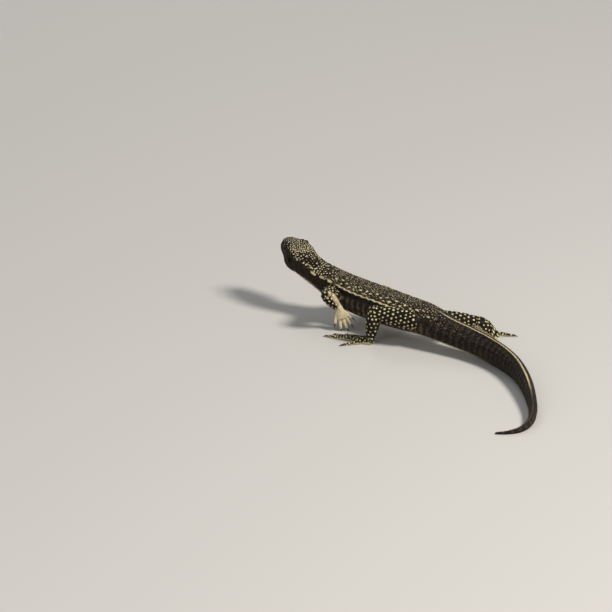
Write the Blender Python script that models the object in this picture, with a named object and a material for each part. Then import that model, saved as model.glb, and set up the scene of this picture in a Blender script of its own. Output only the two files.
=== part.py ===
"""A savannah monitor lizard at life size, in mid stride, head raised and tail curled on the floor.

The animal walks along +X, +Y is its left side and +Z is up. The origin is on the floor, under the middle
of the whole animal. All sizes are in metres.
"""

import math

import bmesh
import bpy
from mathutils import Matrix, Vector

MM = 0.001
GAP = 0.3 * MM
FLOOR = 0.0
HIP_PLACE = Vector((31.1, -49.0, 0.0)) * MM

# The spine, from the tip of the tail to the back of the head, in millimetres from the floor under the hips:
# forward, left and up to the middle of the section, then its half width and its reach above and below.
SPINE = (
    (-374, 259, 1.8, 1.8, 2.0, 2.2),
    (-389, 246, 3.2, 2.6, 3.2, 3.6),
    (-399, 224, 5.2, 4.0, 5.2, 5.6),
    (-392, 192, 7.6, 5.6, 7.8, 8.0),
    (-367, 155, 10.4, 7.2, 10.6, 10.8),
    (-331, 117, 12.8, 8.8, 13.4, 13.2),
    (-284, 74, 15.6, 11.0, 16.2, 16.0),
    (-231, 35, 18.4, 13.2, 19.0, 18.8),
    (-184, 12, 20.6, 15.4, 21.0, 21.0),
    (-138, 1, 24.4, 18.0, 22.4, 21.4),
    (-94, -2, 29.0, 20.5, 23.6, 20.6),
    (-50, 0, 36.0, 23.5, 24.4, 21.8),
    (0, 0, 44.5, 31.0, 27.4, 25.8),
    (45, -3, 45.0, 36.0, 27.4, 28.0),
    (100, -6, 46.5, 38.5, 27.4, 29.5),
    (155, -4, 51.0, 36.5, 27.4, 29.5),
    (195, 1, 60.5, 31.0, 25.4, 28.5),
    (228, 7, 74.0, 24.5, 21.6, 25.5),
    (250, 12, 86.0, 23.5, 19.0, 25.5),
    (271, 9, 93.0, 25.0, 18.0, 25.5),
    (294, -5, 96.5, 25.0, 18.0, 25.5),
)
HEAD_STATION = 19
NECK_STATION = 16.72
TAIL_STATION = 11.3
TAIL_CUTS = (9.0, 6.6, 4.6, 2.4)
BODY_SIDES = 24
BOX_POWER = 2.25
KEEL_ANGLES = (-60, -30, 0, 30, 55, 72, 82)
KEEL_RISE = 1.1 * MM
KEEL_DIP = 0.9 * MM

# The head, forward from its joint with the neck: distance, half width, top, mouth line, underside and how
# square the upper half of the section is.
HEAD = (
    (0.0, 25.0, 18.0, -6.0, -25.5, 2.25),
    (7.0, 27.0, 18.6, -7.8, -25.6, 2.4),
    (14.0, 28.0, 18.9, -9.2, -24.8, 2.6),
    (21.0, 27.4, 19.0, -9.0, -23.0, 2.9),
    (28.0, 25.2, 18.8, -8.0, -21.0, 3.2),
    (34.0, 22.8, 18.4, -7.1, -19.6, 3.4),
    (40.0, 20.9, 17.6, -6.7, -18.5, 3.3),
    (46.0, 19.3, 16.2, -6.7, -17.6, 3.0),
    (53.0, 17.6, 14.3, -6.5, -16.6, 2.8),
    (60.0, 15.6, 12.3, -6.0, -15.2, 2.6),
    (66.0, 13.0, 9.9, -5.4, -13.6, 2.4),
    (70.0, 10.0, 7.2, -5.0, -11.9, 2.3),
    (72.8, 6.2, 3.6, -4.7, -9.6, 2.2),
    (74.2, 2.6, -0.6, -4.5, -7.6, 2.0),
)
HEAD_RINGS = 27
UPPER_SIDES = 8
LOWER_SIDES = 6
MOUTH_CORNER = 16 * MM
LIP_SWELL = 0.7 * MM
MOUTH_DEPTH = 1.5 * MM
LIP_HEIGHT = 0.8 * MM
JAW_INSET = 0.3

EYE_PLACE = Vector((38.0, 17.9, 8.6)) * MM
EYE_RADIUS = 5.6 * MM
LID_RADIUS = 4.7 * MM
LID_THICKNESS = 1.5 * MM
LID_OUT = 2.6 * MM
BROW_PLACE = Vector((35.0, 14.2, 13.0)) * MM
BROW_SIZE = Vector((12.0, 5.6, 4.4)) * MM
NOSTRIL_PLACE = Vector((54.5, 15.9, 7.6)) * MM
NOSTRIL_SIZE = Vector((3.0, 2.4, 1.1)) * MM
EAR_PLACE = Vector((7.5, 27.6, 1.0)) * MM
EAR_SIZE = Vector((2.6, 3.6, 4.6)) * MM

# Each leg's joints in millimetres from the floor under the hips, and the radii at them.
ARM_RADII = (14.0, 10.5, 7.2)
LEG_RADII = (17.5, 12.0, 8.0)
FRONT_LEFT = ((188, 31, 56), (168, 70.5, 70), (159.5, 46.5, 41))
FRONT_RIGHT = ((196, -28, 52), (199, -72, 35), (236, -64, 9))
HIND_LEFT = ((6, 21, 47), (68, 60, 60), (75, 61, 9))
HIND_RIGHT = ((-2, -21, 41), (-56, -67, 37), (-64, -102, 9))
LIMB_SIDES = 12
LIMB_FLATNESS = 0.94
INNER_SWELL = 0.4

# Each toe from the inner one out: its length to the claw, its angle from the foot's axis, and where it
# leaves the foot, forward and across.
FINGERS = (
    (14, -38, 11, -8.5),
    (19, -17, 15, -5.2),
    (22, 1, 16, 0.0),
    (21, 19, 14.5, 5.0),
    (15, 42, 9.5, 8.5),
)
TOES = (
    (17, -30, 20, -8.5),
    (28, -15, 27, -5.4),
    (42, -3, 29, -0.5),
    (53, 8, 27, 4.6),
    (32, 40, 12, 8.0),
)
# The fifth toe's length and angle on each foot: it points back on the one that is left behind.
FIFTH_TOES = {"hind_left": (32, 52), "hind_right": (26, 112)}
# How far the fingers spread on each hand, where 1 is a hand pressed flat.
SPREADS = {"front_left": 0.72, "front_right": 1}
# The palm's length and half width, and its sections: part of each, and half thickness.
HAND_PALM = (17, 10.5)
FOOT_PALM = (31, 11.0)
PALM_SECTIONS = (
    (-0.24, 0.5, 5.2),
    (-0.12, 0.68, 7.4),
    (0.1, 0.74, 8.0),
    (0.4, 0.86, 7.0),
    (0.7, 1.0, 5.6),
    (0.95, 0.94, 4.6),
    (1.1, 0.6, 3.2),
)
# Along a toe: part of its length, height above the sole and thickness; along its claw: part and thickness.
DIGIT_KNOTS = (
    (-0.3, 4.6, 0.95),
    (0.0, 4.6, 1.0),
    (0.3, 5.2, 0.98),
    (0.55, 4.2, 0.88),
    (0.8, 3.2, 0.84),
    (0.97, 2.9, 0.72),
)
CLAW_KNOTS = ((0.1, 0.98), (0.4, 0.8), (0.7, 0.5), (1.0, 0.16))
DIGIT_RADIUS = 3.5 * MM
CLAW_RADIUS = 1.7 * MM
CLAW_LENGTH = 10 * MM
CLAW_SINK = 2.4 * MM
SOLE_TRIM = 0.5 * MM
HANGING_SPREAD = 0.62

SKIN_COLOUR = (0.045, 0.04, 0.032, 1)
EYE_COLOUR = (0.012, 0.009, 0.007, 1)


def start_clean():
    for thing in list(bpy.data.objects):
        bpy.data.objects.remove(thing, do_unlink=True)


def new_material(name, colour, roughness):
    material = bpy.data.materials.new(name)
    material.use_nodes = True
    shader = material.node_tree.nodes["Principled BSDF"]
    shader.inputs["Base Color"].default_value = colour
    shader.inputs["Roughness"].default_value = roughness
    shader.inputs["Metallic"].default_value = 0.0
    return material


def new_collection(name):
    collection = bpy.data.collections.new(name)
    bpy.context.scene.collection.children.link(collection)
    return collection


def smooth_step(value):
    value = min(max(value, 0.0), 1.0)
    return value * value * (3 - 2 * value)


def catmull_rom(rows, place):
    """The row of numbers at a place along a table, on a smooth curve through its rows."""
    last = len(rows) - 1
    first = min(max(int(place), 0), last - 1)
    part = place - first

    def row(index):
        if index < 0:
            return [2 * a - b for a, b in zip(rows[0], rows[1])]
        if index > last:
            return [2 * a - b for a, b in zip(rows[last], rows[last - 1])]
        return rows[index]

    before, start, end, after = (row(first + step) for step in (-1, 0, 1, 2))
    return [
        b + 0.5 * part * (c - a + part * (2 * a - 5 * b + 4 * c - d + part * (3 * b - a - 3 * c + d)))
        for a, b, c, d in zip(before, start, end, after)
    ]


def spine_frame(place):
    """The middle, forward, left and up directions and the three sizes of the section at a spine station."""
    row = catmull_rom(SPINE, place)
    ahead, behind = catmull_rom(SPINE, place + 0.02), catmull_rom(SPINE, place - 0.02)
    middle = Vector(row[:3]) * MM + HIP_PLACE
    forward = (Vector(ahead[:3]) - Vector(behind[:3])).normalized()
    left = Vector((0, 0, 1)).cross(forward).normalized()
    up = forward.cross(left)
    return middle, forward, left, up, [value * MM for value in row[3:]]


def rounded(angle, power):
    """How far a squarish round reaches across and up at an angle."""
    across, up = math.cos(angle), math.sin(angle)
    return (
        math.copysign(abs(across) ** (2 / power), across),
        math.copysign(abs(up) ** (2 / power), up),
    )


def body_ring(place, shift=0.0, swell=0.0):
    """One section of the trunk, moved along the spine or made larger all round."""
    middle, forward, left, up, (half_width, rise, drop) = spine_frame(place)
    ring = []
    for side in range(BODY_SIDES):
        across, high = rounded(math.tau * side / BODY_SIDES, BOX_POWER)
        reach = (rise if high > 0 else drop) + swell
        ring.append(middle + forward * shift + left * across * (half_width + swell) + up * high * reach)
    return ring


def tail_ring(place, shift=0.0, swell=0.0):
    """One section of the tail, with the two low ridges of its keel along the top."""
    middle, forward, left, up, (half_width, rise, drop) = spine_frame(place)
    keel = smooth_step((TAIL_STATION - place) / 2) * min(1.0, rise / (14 * MM))
    power = 2 + (BOX_POWER - 2) * smooth_step((place - TAIL_STATION + 2) / 2)
    angles = [-90, *KEEL_ANGLES, 90, *(180 - angle for angle in reversed(KEEL_ANGLES))]
    ring = []
    for angle in angles:
        across, high = rounded(math.radians(angle), power)
        reach = (rise if high > 0 else drop) + swell
        extra = {82: KEEL_RISE, 98: KEEL_RISE, 90: -KEEL_DIP}.get(angle, 0.0) * keel
        sideways = left * across * (half_width + swell)
        ring.append(middle + forward * shift + sideways + up * (high * reach + extra))
    return ring


def add_mesh(name, mesh, collection):
    thing = bpy.data.objects.new(name, mesh)
    collection.objects.link(thing)
    return thing


def loft(name, rings, collection):
    """A closed solid through a row of rings that all have the same number of points."""
    shape = bmesh.new()
    rows = [[shape.verts.new(point) for point in ring] for ring in rings]
    for row, following in zip(rows, rows[1:]):
        for index in range(len(row)):
            after = (index + 1) % len(row)
            shape.faces.new((row[index], row[after], following[after], following[index]))
    shape.faces.new(list(reversed(rows[0])))
    shape.faces.new(rows[-1])
    bmesh.ops.recalc_face_normals(shape, faces=shape.faces[:])
    mesh = bpy.data.meshes.new(name)
    shape.to_mesh(mesh)
    shape.free()
    return add_mesh(name, mesh, collection)


def cut_off(thing, point, normal):
    """Removes what lies beyond a plane and closes the cut with a flat face."""
    shape = bmesh.new()
    shape.from_mesh(thing.data)
    bmesh.ops.bisect_plane(
        shape,
        geom=shape.verts[:] + shape.edges[:] + shape.faces[:],
        dist=1e-7,
        plane_co=point,
        plane_no=normal,
        clear_outer=True,
    )
    bmesh.ops.holes_fill(shape, edges=[edge for edge in shape.edges if edge.is_boundary], sides=0)
    bmesh.ops.recalc_face_normals(shape, faces=shape.faces[:])
    shape.to_mesh(thing.data)
    shape.free()


def rest_on_floor(thing):
    """Trims a piece that is sunk a little into the floor, which leaves small flats to stand on."""
    cut_off(thing, Vector((0, 0, FLOOR)), Vector((0, 0, -1)))


def keep_largest(thing):
    """Drops loose scraps and sealed hollows, so that one closed surface stays."""
    shape = bmesh.new()
    shape.from_mesh(thing.data)
    bmesh.ops.remove_doubles(shape, verts=shape.verts[:], dist=1e-6)
    waiting = set(shape.verts)
    islands = []
    while waiting:
        front = [waiting.pop()]
        island = set(front)
        while front:
            vert = front.pop()
            for edge in vert.link_edges:
                other = edge.other_vert(vert)
                if other in waiting:
                    waiting.discard(other)
                    island.add(other)
                    front.append(other)
        islands.append(island)
    largest = max(islands, key=len)
    bmesh.ops.delete(shape, geom=[vert for vert in shape.verts if vert not in largest], context="VERTS")
    shape.to_mesh(thing.data)
    shape.free()


def apply_boolean(thing, operation, helpers):
    """Joins the helper meshes to a piece or takes them from it, and removes them."""
    cutters = new_collection("cutters")
    for helper in helpers:
        for home in list(helper.users_collection):
            home.objects.unlink(helper)
        cutters.objects.link(helper)
        helper.hide_render = True
        helper.display_type = "WIRE"
    modifier = thing.modifiers.new("join", "BOOLEAN")
    modifier.operation = operation
    modifier.operand_type = "COLLECTION"
    modifier.collection = cutters
    modifier.solver = "EXACT"
    bpy.context.view_layer.update()
    joined = bpy.data.meshes.new_from_object(thing.evaluated_get(bpy.context.evaluated_depsgraph_get()))
    thing.modifiers.clear()
    thing.data = joined
    for helper in helpers:
        bpy.data.objects.remove(helper, do_unlink=True)
    bpy.data.collections.remove(cutters)
    keep_largest(thing)


def ball(name, place, radii, turn, collection, sides=12, rings=8):
    """An egg of three radii, turned and set at a place."""
    shape = bmesh.new()
    carry = Matrix.Translation(place) @ turn.to_4x4() @ Matrix.Diagonal((*radii, 1))
    bmesh.ops.create_uvsphere(shape, u_segments=sides, v_segments=rings, radius=1, matrix=carry)
    mesh = bpy.data.meshes.new(name)
    shape.to_mesh(mesh)
    shape.free()
    return add_mesh(name, mesh, collection)


def tube(name, points, radii, collection):
    """A round tube of changing radius through a few points, as a closed mesh."""
    curve = bpy.data.curves.new(name, "CURVE")
    curve.dimensions = "3D"
    curve.bevel_depth = 1
    curve.bevel_resolution = 2
    curve.use_fill_caps = True
    spline = curve.splines.new("POLY")
    spline.points.add(len(points) - 1)
    for knot, point, radius in zip(spline.points, points, radii):
        knot.co = (*point, 1)
        knot.radius = radius
    guide = add_mesh(name, curve, collection)
    bpy.context.view_layer.update()
    mesh = bpy.data.meshes.new_from_object(guide.evaluated_get(bpy.context.evaluated_depsgraph_get()))
    bpy.data.objects.remove(guide, do_unlink=True)
    shape = bmesh.new()
    shape.from_mesh(mesh)
    bmesh.ops.remove_doubles(shape, verts=shape.verts[:], dist=1e-7)
    bmesh.ops.recalc_face_normals(shape, faces=shape.faces[:])
    shape.to_mesh(mesh)
    shape.free()
    return add_mesh(name, mesh, collection)


def spine_length(name, ring, start, end, step, collection):
    """A length of the trunk or tail between two stations, short of each by half a gap."""
    count = max(2, round((end - start) / step))
    rings = []
    for index in range(count + 1):
        shift = {0: GAP / 2, count: -GAP / 2}.get(index, 0.0)
        rings.append(ring(start + (end - start) * index / count, shift))
    return loft(name, rings, collection)


def head_frame():
    """The matrix that carries the head's own directions to the end of the neck."""
    middle, forward, left, up, _ = spine_frame(HEAD_STATION)
    turn = Matrix((forward, left, up)).transposed()
    return Matrix.Translation(middle + forward * GAP / 2) @ turn.to_4x4()


def head_ring(place):
    """One section of the head, from the middle of the skull round the left side, with the mouth line."""
    distance, half_width, top, mouth, under, power = catmull_rom(HEAD, place)
    closing = smooth_step((distance * MM - MOUTH_CORNER) / (6 * MM))
    lip, depth = LIP_SWELL * closing, MOUTH_DEPTH * closing
    side = []
    for index in range(UPPER_SIDES):
        across, high = rounded(math.radians(90 - 90 * index / (UPPER_SIDES - 1)), power)
        low = math.exp(-(((high * (top - mouth)) / 3.5) ** 2))
        rise = LIP_HEIGHT / MM * (1 - high)
        side.append((half_width * across + lip / MM * low, mouth + high * (top - mouth) + rise))
    side.append((half_width - depth / MM, mouth))
    for index in range(LOWER_SIDES):
        across, high = rounded(math.radians(90 * index / (LOWER_SIDES - 1)), 2.2)
        low = math.exp(-(((high * (under - mouth)) / 3.0) ** 2))
        sink = LIP_HEIGHT / MM * (1 - high)
        side.append((half_width * across - JAW_INSET + lip / MM * low, mouth + high * (under - mouth) - sink))
    side[-1] = (0.0, under)
    ring = side + [(-across, high) for across, high in reversed(side[1:-1])]
    return [Vector((distance, across, high)) * MM for across, high in ring]


def mirrored(vector, side):
    return Vector((vector.x, vector.y * side, vector.z))


def build_head(collection):
    """The head, with lips, mouth line, lids, brows, nostrils and ear openings, and its two eyes."""
    frame = head_frame()
    last = len(HEAD) - 1
    stops = [last * index / HEAD_RINGS for index in range(HEAD_RINGS + 1)]
    rings = [[frame @ point for point in head_ring(stop)] for stop in stops]
    head = loft("head", rings, collection)
    raised, cut, eyes = [], [], []
    for side, word in ((1, "left"), (-1, "right")):
        look = Matrix.Rotation(math.radians(side * 78), 3, "Z") @ Matrix.Rotation(math.radians(-14), 3, "Y")
        turn = frame.to_3x3() @ look
        eye = frame @ mirrored(EYE_PLACE, side)
        outward = turn @ Vector((1, 0, 0))
        raised.append(lid_ring(f"lid_{word}", eye + outward * LID_OUT, turn, collection))
        brow = frame @ mirrored(BROW_PLACE, side)
        raised.append(ball(f"brow_{word}", brow, BROW_SIZE, frame.to_3x3(), collection))
        socket = ball(f"socket_{word}", eye, [EYE_RADIUS + GAP] * 3, turn, collection, 16, 10)
        tilt = Matrix.Rotation(math.radians(-32), 3, "Y") @ Matrix.Rotation(math.radians(-side * 14), 3, "Z")
        nostril = frame @ mirrored(NOSTRIL_PLACE, side)
        ear = frame @ mirrored(EAR_PLACE, side)
        cut.append(socket)
        cut.append(ball(f"nostril_{word}", nostril, NOSTRIL_SIZE, frame.to_3x3() @ tilt, collection, 10, 6))
        cut.append(ball(f"ear_{word}", ear, EAR_SIZE, frame.to_3x3(), collection, 10, 6))
        eyes.append(ball(f"eye_{word}", eye, [EYE_RADIUS] * 3, turn, collection, 14, 8))
    apply_boolean(head, "UNION", raised)
    apply_boolean(head, "DIFFERENCE", cut)
    return [head], eyes


def lid_ring(name, place, turn, collection):
    """The thick rim of the lids round an eye, a little longer than it is high."""
    shape = bmesh.new()
    sides, thick = 14, 6
    rows = []
    for step in range(sides):
        angle = math.tau * step / sides
        middle = Vector((0, 1.12 * math.cos(angle), 0.86 * math.sin(angle))) * LID_RADIUS
        outward = Vector((0, math.cos(angle), math.sin(angle)))
        row = []
        for part in range(thick):
            around = math.tau * part / thick
            offset = outward * math.cos(around) + Vector((1, 0, 0)) * math.sin(around)
            row.append(shape.verts.new(place + turn @ (middle + offset * LID_THICKNESS)))
        rows.append(row)
    for step in range(sides):
        for part in range(thick):
            row, following, after = rows[step], rows[(step + 1) % sides], (part + 1) % thick
            shape.faces.new((row[part], row[after], following[after], following[part]))
    bmesh.ops.recalc_face_normals(shape, faces=shape.faces[:])
    mesh = bpy.data.meshes.new(name)
    shape.to_mesh(mesh)
    shape.free()
    return add_mesh(name, mesh, collection)


def joints_of(leg):
    return [Vector(joint) * MM + HIP_PLACE for joint in leg]


def limb_rings(start, end, first_radius, last_radius, muscle, inner):
    """Round sections from one joint to the next, with a round end each and the muscle's swell on the inner side."""
    along = (end - start).normalized()
    length = (end - start).length
    across = along.cross(Vector((0, 0, 1)) if abs(along.z) < 0.8 else Vector((0, 1, 0))).normalized()
    other = along.cross(across)
    rings = []
    stops = [-0.86, -0.5, 0.0]
    stops += [index / 5 for index in range(1, 5)]
    stops += [1.0, 1.5, 1.86]
    for stop in stops:
        part = min(max(stop, 0.0), 1.0)
        radius = first_radius + (last_radius - first_radius) * part + muscle * math.sin(math.pi * part**0.8)
        over = -stop if stop < 0 else max(stop - 1, 0.0)
        reach = -over * first_radius if stop < 0 else over * last_radius
        swell = muscle * math.sin(math.pi * part**0.8)
        middle = start + along * (length * part + reach) + inner * swell * INNER_SWELL
        radius *= math.sqrt(max(1 - over * over, 0.02))
        ring = []
        for side in range(LIMB_SIDES):
            angle = math.tau * side / LIMB_SIDES
            way = across * math.cos(angle) * LIMB_FLATNESS + other * math.sin(angle)
            ring.append(middle + way * radius)
        rings.append(ring)
    return rings


def build_leg(name, words, leg, radii, muscles, foot, collection):
    """A leg in three pieces that meet on flat cuts at the elbow or knee and at the wrist or ankle."""
    root, bend, end = joints_of(leg)
    upper_way, lower_way = (bend - root).normalized(), (end - bend).normalized()
    first, second, third = (radius * MM for radius in radii)
    inward = (lower_way - upper_way).normalized()
    upper_inner = (inward - upper_way * inward.dot(upper_way)).normalized()
    lower_inner = (inward - lower_way * inward.dot(lower_way)).normalized()
    upper_rings = limb_rings(root, bend, first, second, muscles[0] * MM, upper_inner)
    lower_rings = limb_rings(bend, end, second, third, muscles[1] * MM, lower_inner)
    upper = loft(f"{name}_{words[0]}", upper_rings, collection)
    lower = loft(f"{name}_{words[1]}", lower_rings, collection)
    plane = (upper_way + lower_way).normalized()
    cut_off(upper, bend - plane * GAP / 2, plane)
    cut_off(lower, bend + plane * GAP / 2, -plane)
    foot_way = foot.matrix_world.to_3x3() @ Vector((1, 0, 0))
    plane = (lower_way + foot_way.normalized()).normalized()
    apply_place(foot)
    cut_off(lower, end - plane * GAP / 2, plane)
    cut_off(foot, end + plane * GAP / 2, -plane)
    for piece in (lower, foot):
        if min(vert.co.z for vert in piece.data.vertices) < FLOOR:
            rest_on_floor(piece)
        keep_largest(piece)
    return [upper, lower, foot]


def apply_place(thing):
    thing.data.transform(thing.matrix_world)
    thing.matrix_world = Matrix.Identity(4)


def build_foot(name, digits, palm, turn, place, side, spread, collection):
    """A hand or foot that points along its own X, palm down on Z = 0, with its toes and claws fused to it."""
    length, half_width = palm[0] * MM, palm[1] * MM
    rings = []
    for part, wide, thick in PALM_SECTIONS:
        ring = []
        for step in range(12):
            across, high = rounded(math.tau * step / 12, 2.3)
            height = thick * MM * high + (thick - 0.6) * MM
            ring.append(Vector((part * length, across * wide * half_width, height)))
        rings.append(ring)
    foot = loft(name, rings, collection)
    extra = []
    for number, (digit_length, angle, forward, across) in enumerate(digits, 1):
        way = Matrix.Rotation(math.radians(angle * side * spread), 3, "Z") @ Vector((1, 0, 0))
        start = Vector((forward, across * side, 0)) * MM
        reach = digit_length * MM
        points, radii = [], []
        for part, high, wide in DIGIT_KNOTS:
            points.append(start + way * part * reach + Vector((0, 0, high * MM)))
            radii.append(DIGIT_RADIUS * wide)
        tip = points[-1]
        for part, wide in CLAW_KNOTS:
            points.append(tip + way * part * CLAW_LENGTH + Vector((0, 0, 0.5 * MM - CLAW_SINK * part**2)))
            radii.append(CLAW_RADIUS * wide)
        extra.append(tube(f"{name}_digit_{number}", points, radii, collection))
    apply_boolean(foot, "UNION", extra)
    foot.matrix_world = Matrix.Translation(place) @ turn.to_4x4()
    bpy.context.view_layer.update()
    return foot


def flat_turn(heading):
    return Matrix.Rotation(math.radians(heading), 3, "Z")


def hanging_turn(heading, lean, swing):
    """Points the fingers down with the palm turned back along a heading, leaning and swung a little."""
    down = Matrix.Rotation(math.radians(90 - lean), 3, "Y") @ Matrix.Rotation(math.radians(swing), 3, "Z")
    return Matrix.Rotation(math.radians(heading), 3, "Z") @ down


def build_trunk(collection):
    neck = spine_length("neck", body_ring, NECK_STATION, HEAD_STATION, 0.29, collection)
    torso = spine_length("torso", body_ring, TAIL_STATION, NECK_STATION, 0.3, collection)
    names = ("tail_base", "tail_middle", "tail_rear", "tail_curl", "tail_tip")
    stops = (TAIL_STATION, *TAIL_CUTS, 0)
    tail = []
    for name, front, back in zip(names, stops, stops[1:]):
        piece = spine_length(name, tail_ring, back, front, 0.24, collection)
        if min(vert.co.z for vert in piece.data.vertices) < FLOOR:
            rest_on_floor(piece)
        tail.append(piece)
    return [neck, torso, *tail]


def clear_of_trunk(piece, collection):
    """Cuts a limb's root back to the trunk's side, with the gap that touching pieces keep."""
    trunk = [body_ring(TAIL_STATION - 1.2 + 0.3 * step, 0.0, GAP) for step in range(23)]
    apply_boolean(piece, "DIFFERENCE", [loft("trunk_form", trunk, collection)])


def build_legs(collection):
    pieces = []
    arm = ("upper_arm", "forearm", "hand")
    leg = ("thigh", "shin", "foot")
    plans = (
        ("front_left", arm, FRONT_LEFT, hanging_turn(-48, 6, -22), 1),
        ("front_right", arm, FRONT_RIGHT, flat_turn(-22), -1),
        ("hind_left", leg, HIND_LEFT, flat_turn(8), 1),
        ("hind_right", leg, HIND_RIGHT, flat_turn(-34), -1),
    )
    for name, words, places, turn, side in plans:
        hand = words is arm
        end = Vector(places[2]) * MM + HIP_PLACE
        middle = Vector((0, 0, 7)) * MM
        place = end - turn @ middle
        hanging = name == "front_left"
        if not hanging:
            place.z = FLOOR - SOLE_TRIM
        digits, palm = (FINGERS, HAND_PALM) if hand else (TOES, FOOT_PALM)
        if hand:
            digits = tuple((long, angle * SPREADS[name], *root) for long, angle, *root in FINGERS)
        else:
            digits = (*TOES[:-1], (*FIFTH_TOES[name], *TOES[-1][2:]))
        spread = HANGING_SPREAD if hanging else 1.0
        foot = build_foot(f"{name}_{words[2]}", digits, palm, turn, place, side, spread, collection)
        radii, muscles = (ARM_RADII, (0.8, 1.8)) if hand else (LEG_RADII, (1.6, 2.6))
        built = build_leg(name, words, places, radii, muscles, foot, collection)
        clear_of_trunk(built[0], collection)
        pieces += built
    return pieces


def main():
    start_clean()
    animal = new_collection("savannah_monitor")
    skin = new_material("scaly_skin", SKIN_COLOUR, 0.5)
    eye = new_material("eye", EYE_COLOUR, 0.08)
    head, eyes = build_head(animal)
    for piece in head + build_trunk(animal) + build_legs(animal):
        piece.data.materials.clear()
        piece.data.materials.append(skin)
        piece.data.shade_smooth()
        piece.data.set_sharp_from_angle(angle=math.radians(50))
    for piece in eyes:
        piece.data.materials.append(eye)
        piece.data.shade_smooth()


main()
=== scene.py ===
"""The looks of the savannah monitor: one skin over the solids, raised scales, claws, eyes and lids."""

import math

import bmesh
import bpy
import numpy as np
from mathutils import Matrix, Vector
from mathutils.bvhtree import BVHTree
from mathutils.kdtree import KDTree


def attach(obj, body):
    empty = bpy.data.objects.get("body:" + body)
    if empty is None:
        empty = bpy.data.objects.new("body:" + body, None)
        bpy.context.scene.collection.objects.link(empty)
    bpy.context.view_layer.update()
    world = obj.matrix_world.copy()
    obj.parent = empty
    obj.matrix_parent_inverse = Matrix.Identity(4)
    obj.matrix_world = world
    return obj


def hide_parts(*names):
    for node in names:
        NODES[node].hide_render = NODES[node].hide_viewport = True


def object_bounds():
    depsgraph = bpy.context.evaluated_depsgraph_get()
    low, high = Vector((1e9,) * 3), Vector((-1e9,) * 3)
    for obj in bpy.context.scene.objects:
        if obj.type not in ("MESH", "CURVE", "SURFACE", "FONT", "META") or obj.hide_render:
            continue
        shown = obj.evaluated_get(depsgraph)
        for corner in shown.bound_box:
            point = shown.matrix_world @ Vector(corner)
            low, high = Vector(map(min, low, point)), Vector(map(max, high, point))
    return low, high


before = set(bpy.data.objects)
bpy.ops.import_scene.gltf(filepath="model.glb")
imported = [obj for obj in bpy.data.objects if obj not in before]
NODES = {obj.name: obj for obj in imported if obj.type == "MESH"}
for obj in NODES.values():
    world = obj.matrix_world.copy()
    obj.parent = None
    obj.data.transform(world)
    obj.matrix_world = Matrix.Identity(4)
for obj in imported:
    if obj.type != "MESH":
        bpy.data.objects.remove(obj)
SOLID_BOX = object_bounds()
DRAW = np.random.default_rng(7)
MM = 0.001
HIP_PLACE = np.array([31.1, -49.0, 0.0]) * MM

# The spine: forward, left and up from the floor under the hips, then half width, rise and drop.
SPINE = (
    (-374, 259, 1.8, 1.8, 2.0, 2.2),
    (-389, 246, 3.2, 2.6, 3.2, 3.6),
    (-399, 224, 5.2, 4.0, 5.2, 5.6),
    (-392, 192, 7.6, 5.6, 7.8, 8.0),
    (-367, 155, 10.4, 7.2, 10.6, 10.8),
    (-331, 117, 12.8, 8.8, 13.4, 13.2),
    (-284, 74, 15.6, 11.0, 16.2, 16.0),
    (-231, 35, 18.4, 13.2, 19.0, 18.8),
    (-184, 12, 20.6, 15.4, 21.0, 21.0),
    (-138, 1, 24.4, 18.0, 22.4, 21.4),
    (-94, -2, 29.0, 20.5, 23.6, 20.6),
    (-50, 0, 36.0, 23.5, 24.4, 21.8),
    (0, 0, 44.5, 31.0, 27.4, 25.8),
    (45, -3, 45.0, 36.0, 27.4, 28.0),
    (100, -6, 46.5, 38.5, 27.4, 29.5),
    (155, -4, 51.0, 36.5, 27.4, 29.5),
    (195, 1, 60.5, 31.0, 25.4, 28.5),
    (228, 7, 74.0, 24.5, 21.6, 25.5),
    (250, 12, 86.0, 23.5, 19.0, 25.5),
    (271, 9, 93.0, 25.0, 18.0, 25.5),
    (294, -5, 96.5, 25.0, 18.0, 25.5),
)
HIP_STATION = 12
HEAD_STATION = 19
BODY_POWER = 2.25
# From where the animal counts as neck and as trunk, in metres forward of the hips along the spine.
NECK_START = 0.225
TRUNK_START = -0.02
# The head's sections: distance from the neck, half width, top, mouth line and underside.
HEAD = (
    (0.0, 25.0, 18.0, -6.0, -25.5),
    (7.0, 27.0, 18.6, -7.8, -25.6),
    (14.0, 28.0, 18.9, -9.2, -24.8),
    (21.0, 27.4, 19.0, -9.0, -23.0),
    (28.0, 25.2, 18.8, -8.0, -21.0),
    (34.0, 22.8, 18.4, -7.1, -19.6),
    (40.0, 20.9, 17.6, -6.7, -18.5),
    (46.0, 19.3, 16.2, -6.7, -17.6),
    (53.0, 17.6, 14.3, -6.5, -16.6),
    (60.0, 15.6, 12.3, -6.0, -15.2),
    (66.0, 13.0, 9.9, -5.4, -13.6),
    (70.0, 10.0, 7.2, -5.0, -11.9),
    (72.8, 6.2, 3.6, -4.7, -9.6),
    (74.2, 2.6, -0.6, -4.5, -7.6),
)
EYE_PLACE = Vector((38.0, 17.9, 8.6)) * MM
EYE_RADIUS = 5.6 * MM
NOSTRIL_PLACE = Vector((54.5, 15.9, 7.6)) * MM
NOSTRIL_SLANT = 0.45
EAR_PLACE = Vector((7.5, 27.6, 1.0)) * MM
# How far round to the side and how far up the eyes look, in degrees.
EYE_TURN = 78
EYE_TILT = -14
# How wide the lids open up, down, forward and back, and where they end, in degrees from the eye's axis.
LID_OPENING = (21, 25, 43, 45)
LID_END = 96
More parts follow.
